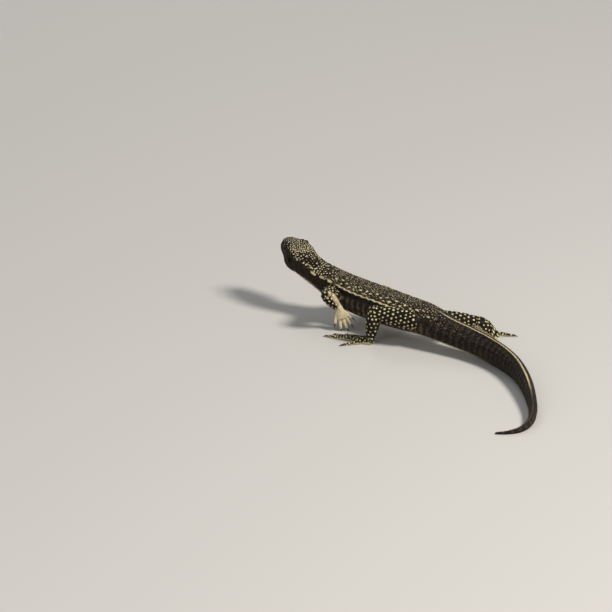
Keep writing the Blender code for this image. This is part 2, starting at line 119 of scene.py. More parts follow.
# The lids' section: angle past their edge, distance from the eye's middle, and part of the upper lid's extra.
LID_PROFILE = (
    (1.0, 5.2, 0), (0.0, 5.62, 0), (0.5, 6.05, 0), (4.0, 6.5, 1), (10.0, 6.68, 1),
    (17.0, 6.45, 1), (25.0, 6.4, 1), (35.0, 6.35, 1), (48.0, 6.0, 0), (60.0, 5.2, 0),
)
# The rows of scales on the lids: angle past the edge and size in millimetres, as far as the last angle.
LID_SCALE_ROWS = ((2.5, 0.72), (10.0, 0.95), (19.5, 1.05), (29.5, 1.15), (40.0, 1.2))
LAST_LID_SCALE = 78

# The legs' root, bend and end: forward, left and up from the floor under the hips, in millimetres.
LEGS = {
    "front_left": ((188, 31, 56), (168, 70.5, 70), (159.5, 46.5, 41)),
    "front_right": ((196, -28, 52), (199, -72, 35), (236, -64, 9)),
    "hind_left": ((6, 21, 47), (68, 60, 60), (75, 61, 9)),
    "hind_right": ((-2, -21, 41), (-56, -67, 37), (-64, -102, 9)),
}
# How far the planted feet turn to the left, and how the hanging hand turns, step by step, in degrees.
FOOT_HEADINGS = {"front_right": -22, "hind_left": 8, "hind_right": -34}
HAND_TURNS = ((-48, "Z"), (84, "Y"), (-22, "Z"))
ANKLE_HEIGHT = 7 * MM
# The radius of the legs at their root, bend and end, and how far the two bones' flesh swells, in millimetres.
ARM_RADII = (14.0, 10.5, 7.2)
LEG_RADII = (17.5, 12.0, 8.0)
ARM_SWELLING = (0.8, 1.8)
LEG_SWELLING = (1.6, 2.6)
LEG_SAMPLES = 30
JOINT_FILL = 0.93
# How far the rounding of the skin reaches at a leg's root, bend, end and heel, in millimetres.
ROUNDING = (18, 12, 10, 9)
# The balls that fill a leg's root, in parts of the leg: place along the trunk, radius, place down the leg.
WEBS = ((-0.62, 0.78, 0.16), (0.62, 0.74, 0.12), (0.0, 0.98, 0.3))
# Each toe from the inner one out: length, angle from the foot's axis, and its root, forward and across.
FINGERS = ((14, -38, 11, -8.5), (19, -17, 15, -5.2), (22, 1, 16, 0), (21, 19, 14.5, 5), (15, 42, 9.5, 8.5))
TOES = ((17, -30, 20, -8.5), (28, -15, 27, -5.4), (42, -3, 29, -0.5), (53, 8, 27, 4.6))
FIFTH_TOES = {"hind_left": (32, 52, 12, 8), "hind_right": (26, 112, 12, 8)}
# A toe's knots: part of its length, height in millimetres and part of its radius. A claw's: part and width.
TOE_KNOTS = (
    (-0.3, 4.6, 0.95),
    (0.0, 4.6, 1.0),
    (0.3, 5.2, 0.98),
    (0.55, 4.2, 0.88),
    (0.8, 3.2, 0.84),
    (0.97, 2.9, 0.72),
)
CLAW_KNOTS = ((0.1, 0.98), (0.4, 0.8), (0.7, 0.5), (1.0, 0.16))
HAND_PALM = (17, 10.5)
FOOT_PALM = (31, 11.0)
PALM_POWER = 2.3
# The palm's sections: part of its length, part of its half width, and half thickness in millimetres.
PALM_SECTIONS = (
    (-0.24, 0.5, 5.2),
    (-0.12, 0.68, 7.4),
    (0.1, 0.74, 8.0),
    (0.4, 0.86, 7.0),
    (0.7, 1.0, 5.6),
    (0.95, 0.94, 4.6),
    (1.1, 0.6, 3.2),
)
DIGIT_RADIUS = 3.5 * MM
CLAW_LENGTH = 10 * MM
CLAW_RADIUS = 1.7 * MM
CLAW_SINK = 2.4 * MM
CLAW_ROOT = 1.8 * MM
LEAST_CLAW = 0.12 * MM
SOLE_TRIM = 0.5 * MM
HANGING_SPREAD = 0.72
GAP_CLOSING = 0.25 * MM
BOX_MARGIN = 0.01 * MM

# How large the scales are, in millimetres: pitch along and across the animal, height and squareness.
TRUNK_SCALES = (2.35, 2.3, 0.50, 2.3)
BELLY_SCALES = (2.7, 2.4, 0.34, 4.0)
NAPE_SCALES = (2.5, 2.5, 0.62, 2.2)
THROAT_SCALES = (1.9, 1.9, 0.42, 2.4)
TAIL_SCALES = (2.9, 2.0, 0.46, 3.4)
TIP_SCALES = (2.1, 1.15, 0.26, 3.2)
LEG_SCALES = {"limb": (2.1, 2.0, 0.44, 2.3), "palm": (1.7, 1.6, 0.34, 2.4), "toe": (1.5, 1.5, 0.28, 3.2)}
# The least distance between strewn scales on each part, in millimetres.
STREWN_GAPS = {"body": 1.9, "head": 1.5, "limb": 1.75, "palm": 1.5, "toe": 1.3}
COAT_DEPTH = 0.35 * MM
LEAST_SPACING = 0.66
HEAD_DRAWS = 70_000
FILL_DRAWS = 150_000
MOST_STREWN = 20_000
DOT_REACH = 1.2 * MM
# A scale's row: place, normal and direction with three numbers each, then these.
LENGTH, WIDTH, HEIGHT, POWER, KEEL, REGION = range(9, 15)
REGIONS = ("head", "neck", "trunk", "tail", "front_legs", "hind_legs")
PIECE_SCALES = 6500
# A scale's form: eight points round its foot, eight round its top, and its crown.
SCALE_SIDES = 8
SCALE_TURNS = np.arange(SCALE_SIDES) * math.pi / 4
SCALE_POINTS = 2 * SCALE_SIDES + 1
SCALE_TOP = 0.76
UNWRAP_SCALE = 1.7
MAP_EDGE = 0.005
MAP_GAP = 0.006
PATCH = 0.003

VOXEL = 1.05 * MM
SMOOTH_ROUNDS = 18
JOINT_ROUNDS = 34
LEAST_CLEARANCE = 0.15 * MM
MOST_SKIN_TRIANGLES = 190_000
FLESH = [name for name in NODES if not name.startswith("eye_")]
FEET = [name for name in FLESH if name.endswith(("_hand", "_foot"))]

# The black ground's faint blue tint is a painted reflection of the sky.
BLACK_GROUND = (0.005, 0.005, 0.006, 1)
BROWN_GROUND = (0.030, 0.019, 0.011, 1)
GREY_GROUND = (0.016, 0.015, 0.014, 1)
CREAM = (0.90, 0.75, 0.48, 1)
YELLOW = (0.96, 0.86, 0.46, 1)
OCHRE = (0.36, 0.26, 0.10, 1)
TAN = (0.58, 0.43, 0.29, 1)
UNDERSIDE = (0.84, 0.74, 0.56, 1)

# The camera's bearing and height in degrees, its distance, and the width of floor that it sees at the hips.
CAMERA_AZIMUTH = 222.0
CAMERA_ELEVATION = 19.0
CAMERA_DISTANCE = 12.0
VIEW_WIDTH = 1.0404
# Where the floor point under the hips lies from the middle of the picture, in metres, rightward and up.
HIP_IN_VIEW = (0.2057, -0.0663)
FLOOR_SIZE = 6.0
# The lamps: place, width and power, all aimed at the animal's middle, and colour.
LIGHTS = (
    ("key", (-4.4, -0.75, 4.5), 1.65, 430, (1.0, 0.955, 0.88)),
    ("fill", (-0.8, 4.4, 2.4), 3.4, 42, (0.97, 0.98, 1.0)),
    ("rim", (3.5, -2.2, 2.9), 2.2, 35, (1.0, 0.98, 0.95)),
)
LAMP_TARGET = Vector((0, 0, 0.05))


def catmull_rom(rows, places):
    """Rows of numbers at places along a table, on a smooth curve through its rows."""
    table = np.array(rows, float)
    padded = np.vstack([2 * table[:1] - table[1:2], table, 2 * table[-1:] - table[-2:-1]])
    first = np.clip(np.floor(places).astype(int), 0, len(table) - 2)
    part = (places - first)[:, None]
    a, b, c, d = (padded[first + step] for step in range(4))
    return b + 0.5 * part * (c - a + part * (2 * a - 5 * b + 4 * c - d + part * (3 * b - a - 3 * c + d)))


def unit(vectors):
    return vectors / np.maximum(np.linalg.norm(vectors, axis=-1, keepdims=True), 1e-12)


def step_up(value, low, high):
    value = np.clip((value - low) / (high - low), 0, 1)
    return value * value * (3 - 2 * value)


def step_down(value, low, high):
    return 1 - step_up(value, low, high)


def bump(distance, width):
    return np.exp(-((distance / width) ** 2))


def run_length(points):
    """How far each point lies along the line through all of them."""
    return np.concatenate([[0.0], np.cumsum(np.linalg.norm(np.diff(points, axis=0), axis=1))])


def circle(count):
    """Angles evenly round a whole turn."""
    return [math.tau * step / count for step in range(count)]


def smooth_run(knots, count):
    """A smooth curve through knots of place and radius, and its direction at each of its points."""
    rows = catmull_rom(knots, np.linspace(0, len(knots) - 1, count))
    return rows, unit(np.gradient(rows[:, :3], axis=0))


def from_hips(places):
    return np.array(places) * MM + HIP_PLACE


class Axis:
    """A line through one part of the animal, with directions and sizes at each of its samples."""

    every = []

    def __init__(self, name, kind, points, up, half_width, rise, drop, start=0.0):
        self.name, self.kind, self.number = name, kind, len(Axis.every)
        self.points = np.asarray(points, float)
        self.forward = unit(np.gradient(self.points, axis=0))
        self.left = unit(np.cross(np.broadcast_to(up, self.points.shape), self.forward))
        self.up = np.cross(self.forward, self.left)
        count = len(self.points)
        self.half_width, self.rise, self.drop = (
            np.broadcast_to(size, count).astype(float) for size in (half_width, rise, drop)
        )
        self.along = start + run_length(self.points)
        Axis.every.append(self)

    def at(self, along):
        """Point and directions at one distance along the axis."""
        values = np.hstack([self.points, self.forward, self.left, self.up])
        row = np.array([np.interp(along, self.along, column) for column in values.T])
        return row[:3], unit(row[3:6]), unit(row[6:9]), unit(row[9:])


def kinds_of(numbers):
    return np.array([axis.kind for axis in Axis.every])[numbers]


def spine_samples(places):
    rows = catmull_rom(SPINE, places)
    return rows[:, :3] * MM + HIP_PLACE, rows[:, 3:] * MM


def head_matrix():
    """The head's own directions at the end of the neck, as a matrix."""
    points, _ = spine_samples(np.array([HEAD_STATION - 0.02, HEAD_STATION, HEAD_STATION + 0.02]))
    forward = unit(points[2] - points[0])
    left = unit(np.cross((0, 0, 1), forward))
    turn = np.column_stack([forward, left, np.cross(forward, left)])
    return Matrix.Translation(points[1]) @ Matrix(turn.tolist()).to_4x4()


HEAD_FRAME = head_matrix()
HEAD_INVERSE = np.array(HEAD_FRAME.inverted())
HEAD_TURN = HEAD_FRAME.to_3x3()
HEAD_UP = np.array(HEAD_TURN @ Vector((0, 0, 1)))


def build_body_axes():
    """The spine from the tail's tip to the neck, and the head's axis."""
    places = np.linspace(0, HEAD_STATION, 700)
    points, sizes = spine_samples(places)
    hip = np.searchsorted(places, HIP_STATION)
    spine = Axis("spine", "body", points, (0, 0, 1), *sizes.T, start=-run_length(points)[hip])
    rows = catmull_rom(HEAD, np.linspace(0, len(HEAD) - 1, 90)) * MM
    middle = (rows[:, 2] + rows[:, 4]) / 2
    points = np.array([HEAD_FRAME @ Vector((x, 0, z)) for x, z in zip(rows[:, 0], middle)])
    rise, drop = rows[:, 2] - middle, middle - rows[:, 4]
    Axis("head", "head", points, HEAD_UP, rows[:, 1], rise, drop, start=spine.along[-1])


def foot_matrix(name):
    """Where a hand or foot stands, with its own X along it and its sole on Z = 0."""
    end = Vector(LEGS[name][2]) * MM + Vector(HIP_PLACE)
    hanging = name == "front_left"
    turns = HAND_TURNS if hanging else ((FOOT_HEADINGS[name], "Z"),)
    turn = Matrix.Identity(3)
    for degrees, direction in turns:
        turn = turn @ Matrix.Rotation(math.radians(degrees), 3, direction)
    place = end - turn @ Vector((0, 0, ANKLE_HEIGHT))
    if not hanging:
        place.z = -SOLE_TRIM
    return Matrix.Translation(place) @ turn.to_4x4()


def digit_lines(name):
    """For each toe of a foot: its knots with their radius, then its claw's, in the frame."""
    carry = foot_matrix(name)
    side = 1 if name.endswith("left") else -1
    spread = HANGING_SPREAD if name == "front_left" else 1.0
    lines = []
    digits = FINGERS if name.startswith("front") else (*TOES, FIFTH_TOES[name])
    for length, angle, forward, across in digits:
        way = Matrix.Rotation(math.radians(angle * side * spread), 3, "Z") @ Vector((1, 0, 0))
        start = Vector((forward, across * side, 0)) * MM
        toe = []
        for part, high, wide in TOE_KNOTS:
            toe.append((start + way * part * length * MM + Vector((0, 0, high * MM)), DIGIT_RADIUS * wide))
        tip = toe[-1][0]
        claw = [(tip, CLAW_RADIUS)]
        for part, wide in CLAW_KNOTS:
            drop = Vector((0, 0, 0.5 * MM - CLAW_SINK * part**2))
            claw.append((tip + way * part * CLAW_LENGTH + drop, CLAW_RADIUS * wide))
        lines.append([np.array([(*(carry @ point), radius) for point, radius in run]) for run in (toe, claw)])
    return lines


def palm_size(name):
    """The length and half width of the palm of a hand or foot."""
    return [value * MM for value in (HAND_PALM if name.startswith("front") else FOOT_PALM)]


def build_leg_axes():
    """For each leg an axis through its bones, one through its palm and one through each toe."""
    for name, places in LEGS.items():
        front = name.startswith("front")
        radii = np.array(ARM_RADII if front else LEG_RADII) * MM
        joints = from_hips(places)
        part = np.linspace(0, 1, LEG_SAMPLES)
        points, sizes = [], []
        for at, swelling in enumerate(ARM_SWELLING if front else LEG_SWELLING):
            fresh = slice(1 if at else 0, None)
            points.append(np.linspace(joints[at], joints[at + 1], LEG_SAMPLES)[fresh])
            taper = radii[at] + (radii[at + 1] - radii[at]) * part
            sizes.append((taper + swelling * MM * np.sin(np.pi * part**0.8))[fresh])
        radius = np.concatenate(sizes)
        Axis(name, "limb", np.vstack(points), (0.05, 0.02, 1), radius, radius, radius)
        carry = foot_matrix(name)
        up = np.array(carry.to_3x3() @ Vector((0, 0, 1)))
        length, half_width = palm_size(name)
        stops = np.linspace(-0.1, 1.02, 16)
        thick = np.interp(stops, (-0.12, 0.1, 0.7, 1.0), (7.4, 8.0, 5.6, 4.2)) * MM
        wide = np.interp(stops, (-0.12, 0.1, 0.7, 1.0), (0.68, 0.74, 1.0, 0.9)) * half_width
        points = [carry @ Vector((stop * length, 0, high - 0.4 * MM)) for stop, high in zip(stops, thick)]
        Axis(f"{name}_palm", "palm", points, up, wide, thick, thick)
        for number, (toe, _) in enumerate(digit_lines(name), 1):
            rows, _ = smooth_run(toe, 16)
            Axis(f"{name}_toe_{number}", "toe", rows[:, :3], up, rows[:, 3], rows[:, 3], rows[:, 3])


def nearest_samples(points, axis):
    """For each point the number of the axis's sample that is nearest to it."""
    nearest = np.empty(len(points), int)
    squares = (axis.points**2).sum(1)
    for start in range(0, len(points), 20_000):
        some = points[start : start + 20_000]
        nearest[start : start + 20_000] = np.argmin(squares - 2 * some @ axis.points.T, axis=1)
    return nearest


def section_reach(axis, at, angle):
    """How far a section reaches from its axis at an angle, as a slightly boxy round."""
    power = BODY_POWER if axis.kind in ("body", "head") else 2.0
    across, high = np.abs(np.cos(angle)), np.abs(np.sin(angle))
    tall = np.where(np.sin(angle) > 0, axis.rise[at], axis.drop[at])
    return ((across / axis.half_width[at]) ** power + (high / tall) ** power) ** (-1 / power)


def place_on_axis(points, axis):
    """Distance along an axis, angle round it, the radius there and how far points are from its surface."""
    at = nearest_samples(points, axis)
    offset = points - axis.points[at]
    ahead, across, high = ((offset * way[at]).sum(1) for way in (axis.forward, axis.left, axis.up))
    angle = np.arctan2(high, across)
    apart = np.abs(np.hypot(across, high) - section_reach(axis, at, angle)) + 1.2 * np.abs(ahead)
    return axis.along[at] + ahead, angle, (axis.half_width + axis.rise + axis.drop)[at] / 3, apart


def find_on_axes(points):
    """For each point the axis it belongs to, the distance along it, the angle round it and the radius."""
    numbers = np.zeros(len(points), int)
    found = np.zeros((3, len(points)))
    least = np.full(len(points), np.inf)
    for axis in Axis.every:
        reach = 1.7 * max(axis.half_width.max(), axis.rise.max(), axis.drop.max())
        low, high = axis.points.min(0) - reach, axis.points.max(0) + reach
        near = np.flatnonzero(((points > low) & (points < high)).all(1) | (axis.number == 0))
        if not len(near):
            continue
        *values, apart = place_on_axis(points[near], axis)
        better = apart < least[near]
        chosen = near[better]
        least[chosen] = apart[better]
        numbers[chosen] = axis.number
        found[:, chosen] = np.array(values)[:, better]
    return numbers, *found


def turn_from_top(angle):
    return np.mod(np.pi / 2 - angle + np.pi, 2 * np.pi) - np.pi


def fold_angle(along):
    """How far round from the top the fold along the flank lies: it drops where it crosses the shoulder."""
    return 62 + 5 * step_up(along, 0.195, 0.222) + 13 * step_up(along, 0.222, 0.245)


class Places:
    """Where points lie on the animal: the axis and region, the distance along it and the way round it."""

    def __init__(self, numbers, along, turn, radius):
        self.numbers, self.along = numbers, along
        self.arc = turn * radius
        self.from_top = np.degrees(np.abs(turn))
        kinds = kinds_of(numbers)
        self.body, self.head, self.limb = kinds == "body", kinds == "head", kinds == "limb"
        self.foot = (kinds == "palm") | (kinds == "toe")
        self.trunk = self.body * step_up(along, -0.05, 0.0)
        self.tail = self.body - self.trunk
        self.neck = self.body * step_up(along, 0.185, 0.225)
        self.fold = fold_angle(along)
        self.back = self.trunk * step_down(self.from_top, self.fold - 6, self.fold - 2) * (1 - self.neck)
        self.wander = np.sin(along * 410 + 3 * np.sin(self.arc * 300)) * 1.5


def scatter(first, second, seed):
    """A repeatable number from 0 to 1 for each pair of whole numbers."""
    value = np.sin(first * 127.1 + second * 311.7 + seed * 74.7) * 43758.5453
    return value - np.floor(value)


def spot_distance(across, along, pitch, seed, jitter):
    """How far points are from the nearest spot of a staggered grid, and the spot's number."""
    row = np.floor(along / (pitch * 0.87))
    best, owner = np.full(len(across), 1e9), np.zeros(len(across))
    for step in (-1, 0, 1):
        line = row + step
        shift = 0.5 * (line % 2)
        column = np.floor(across / pitch - shift)
        for side in (-1, 0, 1):
            cell = column + side
            x = (cell + 0.5 + shift + jitter * (2 * scatter(cell, line, seed) - 1)) * pitch
            y = (line + 0.5 + jitter * (2 * scatter(cell, line, seed + 3) - 1)) * pitch * 0.87
            apart = np.hypot(across - x, along - y) / (0.8 + 0.4 * scatter(cell, line, seed + 5))
            nearer = apart < best
            best, owner = np.where(nearer, apart, best), np.where(nearer, cell * 1e6 + line, owner)
    return best, owner


def spots(across, along, pitch, radius, seed, jitter=0.22):
    """A mask of round spots on a staggered grid, each a little out of place, with sizes in millimetres."""
    best, _ = spot_distance(across, along, pitch * MM, seed, jitter)
    return step_down(best / (radius * MM), 0.85, 1.2)


def lone_scales(at, pitch, seed):
    """A mask of single scales, the one nearest to each spot of a staggered grid."""
    best, owner = spot_distance(at.arc, at.along + 9 * at.numbers, pitch * MM, seed, 0.13)
    order = np.lexsort((best, owner))
    first = np.ones(len(order), bool)
    first[1:] = owner[order][1:] != owner[order][:-1]
    mask = np.zeros(len(best))
    mask[order[first & (best[order] < 0.5 * (pitch * MM))]] = 1
    return mask


def ripple(along, pitch, width, wander):
    """A mask of thin wandering bands across an axis, with sizes in millimetres."""
    place = (along + wander * MM) / (pitch * MM)
    distance = np.abs(place - np.round(place)) * (pitch * MM)
    return step_down(distance, width * MM * 0.35, width * MM * 0.75)


def lone_dots(at):
    """Pale single scales, given the places of all: fine on back and rump, bolder on neck and crown. The fine
    ones are partly pale scales and partly painted glints of the scales.
    """
    vary = 0.2 + 0.7 * scatter(np.floor(at.along * 900), np.floor(at.arc * 900), 3)
    rump = at.tail * step_up(at.along, -0.17, -0.04) * step_down(at.from_top, 60, 88)
    # Fine flecks on back and rump: pale scales and partly painted glints of the scales.
    fine = lone_scales(at, 5.3, 23) * vary * (at.back + 0.4 * rump)
    edge = 72 - 14 * at.head
    spotted = (at.neck + at.head) * step_down(at.from_top + at.wander * 2, edge - 4, edge + 4)
    bold = np.where(at.head, 0.9 * lone_scales(at, 4.2, 43), 0.95 * lone_scales(at, 5.5, 41))
    return np.maximum(fine, spotted * bold)


def underside(at, normals):
    """How pale the skin is where it faces down or inward, with the streaks of the hanging forearm."""
    belly = at.trunk + at.head + 0.8 * at.tail * step_up(at.along, -0.2, -0.06)
    under = belly * step_up(at.from_top, 120, 138)
    for axis in Axis.every:
        mine = np.flatnonzero(at.numbers == axis.number)
        if axis.kind in ("palm", "toe"):
            under[mine] = step_up(-(normals[mine] @ axis.up[len(axis.up) // 2]), 0.05, 0.5)
        elif axis.kind == "limb":
            inward = np.array([0.0, -np.sign(axis.points[20][1] - axis.points[0][1]), -0.8])
            under[mine] = 0.9 * step_up(normals[mine] @ unit(inward), 0.55, 0.9)
            if axis.name == "front_left":
                mine = mine[at.along[mine] > axis.along[LEG_SAMPLES - 1]]
                along = at.along[mine]
                streaks = 0.68 + 0.32 * np.sin(at.arc[mine] * 1700 + along * 260)
                wrist = step_up(along, axis.along[-1] - 12 * MM, axis.along[-1] - 3 * MM)
                shown = normals[mine] @ unit(np.array([-0.8, -0.5, 0.15]))
                under[mine] = np.maximum(streaks, wrist) * step_up(shown + 0.35 * wrist, 0.5, 0.85)
    return under


def markings_and_painted_light(at, normals, dots):
    """The animal's markings and some painted light: how light, warm and brown the skin is, and how pale the
    underside is. The pale fold line is a painted highlight, the tail's crest line is partly one, and the
    black band under the fold is a painted shadow.
    """
    along, arc, from_top, fold, wander = at.along, at.arc, at.from_top, at.fold, at.wander
    trunk, tail, neck, leg = at.trunk, at.tail, at.neck, at.limb | at.foot
    head_or_neck = neck + at.head > 0.5

    long_spots = spots(arc, along * 0.62, 8.6, 1.6, 13, 0.17)
    beside = trunk * (np.abs(from_top - fold + 18) < 10) * long_spots * step_down(along, 0.2, 0.21)
    # The pale line along the flank fold is a painted highlight where the fold's edge catches the light.
    broken = np.maximum(step_down(along, 0.185, 0.2), step_up(np.sin(along * 330 + 2.2), -0.35, 0.15))
    wide = 0.7 + 2.2 * step_up(along, 0.19, 0.21)
    line = trunk * step_down(np.abs(from_top - fold + wander * 0.7), wide, wide + 2.0) * broken
    line = line * step_down(along, 0.25, 0.262) * step_up(along, -0.02, 0.03)
    flank = trunk * step_up(from_top, fold + 2, fold + 8) * step_down(from_top, 118, 128) * (1 - neck)
    bars = ripple(along, 13, 5, wander) * (0.4 + 0.6 * spots(arc, along, 5, 2.0, 31))
    border = spots(arc, along, 6.4, 1.2, 45, 0.2) * (np.abs(from_top - 64) < 8)
    # The pale line along the top of the tail: pale crest scales and partly a painted highlight where the
    # crest catches the light, bright from the tail's base to about 0.3 m behind the hips and faint beyond.
    pale_crest_and_highlight = step_down(np.abs(arc), 0.8 * MM, 1.8 * MM) * step_down(from_top, 22, 36)
    uneven = 0.7 + 0.3 * scatter(np.floor(along * 420), np.floor(arc * 700), 5)
    bands = ripple(along, 14, 4.5, wander * 1.2) * step_up(from_top, 10, 24)
    light = np.maximum.reduce([
        dots,
        0.95 * beside,
        # The fold line's painted highlight.
        0.92 * line,
        # The flank's pale bars fade out in the painted shadow just under the fold.
        flank * 0.24 * bars * step_up(from_top, fold + 12, fold + 24),
        neck * 0.95 * border,
        # The tail crest's pale line, partly a painted highlight.
        tail * pale_crest_and_highlight * uneven * (0.12 + 0.78 * step_up(along, -0.4, -0.3)),
        tail * bands * 0.075,
    ])

    stripes = spots(arc, along * 0.45, 6.4, 1.7, 61, 0.15)
    hind_right = next(axis.number for axis in Axis.every if axis.name == "hind_right")
    striped = (at.numbers == hind_right) & (along > 0.1)
    light = np.where(at.limb, np.where(striped, stripes, spots(arc, along, 8.5, 1.62, 53, 0.17)), light)
    light = np.where(at.foot, spots(arc, along, 5.8, 1.35, 59, 0.2), light)
    under = underside(at, normals)
    throat_bars = ripple(along, 11, 3.5, wander) * 0.35
    light = np.maximum(light, np.where(leg, 0.97, 0.7 - throat_bars) * under)

    warm = np.select(
        [under > 0.4, line > 0.3, (dots > 0) | head_or_neck, leg | (beside > 0.3)],
        [0.25, 0.6, 0.35, 0.9],
        0.5,
    )
    ground = np.select(
        [head_or_neck, tail > 0.5, flank > 0.5, at.back > 0.5, leg],
        [
            0.12 + 0.7 * step_up(from_top, 54, 70),
            0.2 + 0.25 * step_up(from_top, 60, 110),
            # Flank: black just under the fold, a painted shadow of the fold, going over to brown lower down.
            0.1 + 0.75 * step_up(from_top, fold + 8, fold + 26),
            0.25,
            0.06,
        ],
        0.5,
    )
    return np.column_stack([light, warm, ground, np.where(leg, 0.4, 1.0) * under])


def add_piece(name, data):
    thing = bpy.data.objects.new(name, data)
    bpy.context.scene.collection.objects.link(thing)
    return thing


def finished_mesh(thing):
    """The mesh that an object's modifiers give, as a new mesh."""
    bpy.context.view_layer.update()
    return bpy.data.meshes.new_from_object(thing.evaluated_get(bpy.context.evaluated_depsgraph_get()))


def mesh_from(name, shape, smooth=False):
    """A new mesh from a form under work, which is let go."""
    mesh = bpy.data.meshes.new(name)
    shape.to_mesh(mesh)
    shape.free()
    if smooth:
        mesh.shade_smooth()
    return mesh


def read_all(items, key, width, kind=float):
    """One value of each of a mesh's items, as rows of an array."""
    values = np.empty(len(items) * width, kind)
    items.foreach_get(key, values)
    return values.reshape(-1, width)


def arrays_of(mesh):
    """A mesh's points, normals and triangles as arrays."""
    mesh.calc_loop_triangles()
    return (
        read_all(mesh.vertices, "co", 3),
        read_all(mesh.vertex_normals, "vector", 3),
        read_all(mesh.loop_triangles, "vertices", 3, int),
    )


def set_points(mesh, points):
    mesh.vertices.foreach_set("co", points.ravel())
    mesh.update()


def keep_marks(mesh, marks):
    layer = mesh.attributes.new("marks", "FLOAT_COLOR", "POINT")
    layer.data.foreach_set("color", marks.astype(np.float32).ravel())


def keep_unwrap(mesh, places):
    layer = mesh.uv_layers.new(name="OFBake")
    layer.data.foreach_set("uv", places.astype(np.float32).ravel())


def inside_box(points):
    """Points held just inside the solids' box."""
    low, high = (np.array(corner) for corner in SOLID_BOX)
    return np.clip(points, low + BOX_MARGIN, high - BOX_MARGIN)


def bridge_rings(shape, rings):
    """Faces between rings of points, each joined to the next; returns the rings' edges."""
    loops = []
    for ring in rings:
        verts = [shape.verts.new(point) for point in ring]
        loops.append([shape.edges.new((a, b)) for a, b in zip(verts, verts[1:] + verts[:1])])
    for loop, following in zip(loops, loops[1:]):
        bmesh.ops.bridge_loops(shape, edges=loop + following)
    return loops


def add_loft(shape, rings):
    """A closed tube through rings of points, each joined to the next."""
    loops = bridge_rings(shape, rings)
    for loop in (loops[0], loops[-1]):
        bmesh.ops.holes_fill(shape, edges=loop, sides=0)


def add_ball(shape, middle, radius):
    place = Matrix.Translation(middle) @ Matrix.Scale(radius, 4)
    bmesh.ops.create_uvsphere(shape, u_segments=24, v_segments=16, radius=1, matrix=place)


def ring_round(middle, forward, radius):
    """A ring of points square to a direction."""
    forward = Vector(forward).normalized()
    side = forward.cross(Vector((0, 0, 1)) if abs(forward.z) < 0.8 else Vector((0, 1, 0))).normalized()
    other = side.cross(forward)
    return [Vector(middle) + (side * math.cos(turn) + other * math.sin(turn)) * radius for turn in circle(16)]


def add_tube(shape, knots):
    """A round tube along knots of place and radius, on a smooth curve, with round ends."""
    rows, ways = smooth_run(knots, 5 * (len(knots) - 1) + 1)
    rings = [ring_round(row[:3], way, row[3]) for row, way in zip(rows, ways)]
    first, last = rows[0], rows[-1]
    for over, thin in ((0.5, 0.85), (0.85, 0.5)):
        rings.insert(0, ring_round(first[:3] - ways[0] * first[3] * over, ways[0], first[3] * thin))
        rings.append(ring_round(last[:3] + ways[-1] * last[3] * over, ways[-1], last[3] * thin))
    add_loft(shape, rings)


def add_foot(shape, name):
    """A hand or foot without its claws: the palm and the toes."""
    carry = foot_matrix(name)
    length, half_width = palm_size(name)
    round_it = []
    for turn in circle(24):
        pair = math.cos(turn), math.sin(turn)
        round_it.append([math.copysign(abs(part) ** (2 / PALM_POWER), part) for part in pair])
    rings = []
    for part, wide, thick in PALM_SECTIONS:
        rings.append([
            carry @ Vector((part * length, across * wide * half_width, (thick * high + thick - 0.6) * MM))
            for across, high in round_it
        ])
    add_loft(shape, rings)
    for toe, _ in digit_lines(name):
        add_tube(shape, toe)


def add_swollen_copy(shape, node):
    """A CAD node's form, merged and swollen a little, so that it meets its neighbours."""
    part = bmesh.new()
    part.from_mesh(NODES[node].data)
    bmesh.ops.remove_doubles(part, verts=part.verts[:], dist=1e-6)
    part.normal_update()
    for vert in part.verts:
        vert.co += vert.normal * GAP_CLOSING
    mesh = mesh_from(node, part)
    shape.from_mesh(mesh)
    bpy.data.meshes.remove(mesh)


def add_webs(shape, name, joints, radii):
    """The slope of muscle and skin that leads from the trunk into a leg."""
    root, bend, _ = joints
    way = (bend - root).normalized()
    spine = Axis.every[0]
    beside = nearest_samples(from_hips(LEGS[name][0])[None], spine)[0]
    _, forward, *_ = spine.at(spine.along[beside])
    for spread, radius, reach in WEBS:
        middle = root + way * (bend - root).length * reach + Vector(forward) * radii[0] * MM * spread
        add_ball(shape, middle, radii[0] * radius * MM)


def in_head(points):
    """Points in the head's own directions, in millimetres."""
    return (points @ HEAD_INVERSE[:3, :3].T + HEAD_INVERSE[:3, 3]) / MM


def mouth_height(forward):
    rows = np.array(HEAD)
    return np.interp(forward, rows[:, 0], rows[:, 3])


def nostril_size(x, z, long, tall):
    """How far points of the head are from a nostril's middle, in parts of its slanting slit's size."""
    place = NOSTRIL_PLACE / MM
    x, z = x - place.x, z - place.z
    along = x * math.cos(NOSTRIL_SLANT) - z * math.sin(NOSTRIL_SLANT)
    over = x * math.sin(NOSTRIL_SLANT) + z * math.cos(NOSTRIL_SLANT)
    return np.hypot(along / long, over / tall)


def ear_size(x, z):
    """How far points of the head are from an ear's middle, in parts of its oval's size."""
    place = EAR_PLACE / MM
    return np.hypot((x - place.x) / 2.8, (z - place.z) / 4.8)


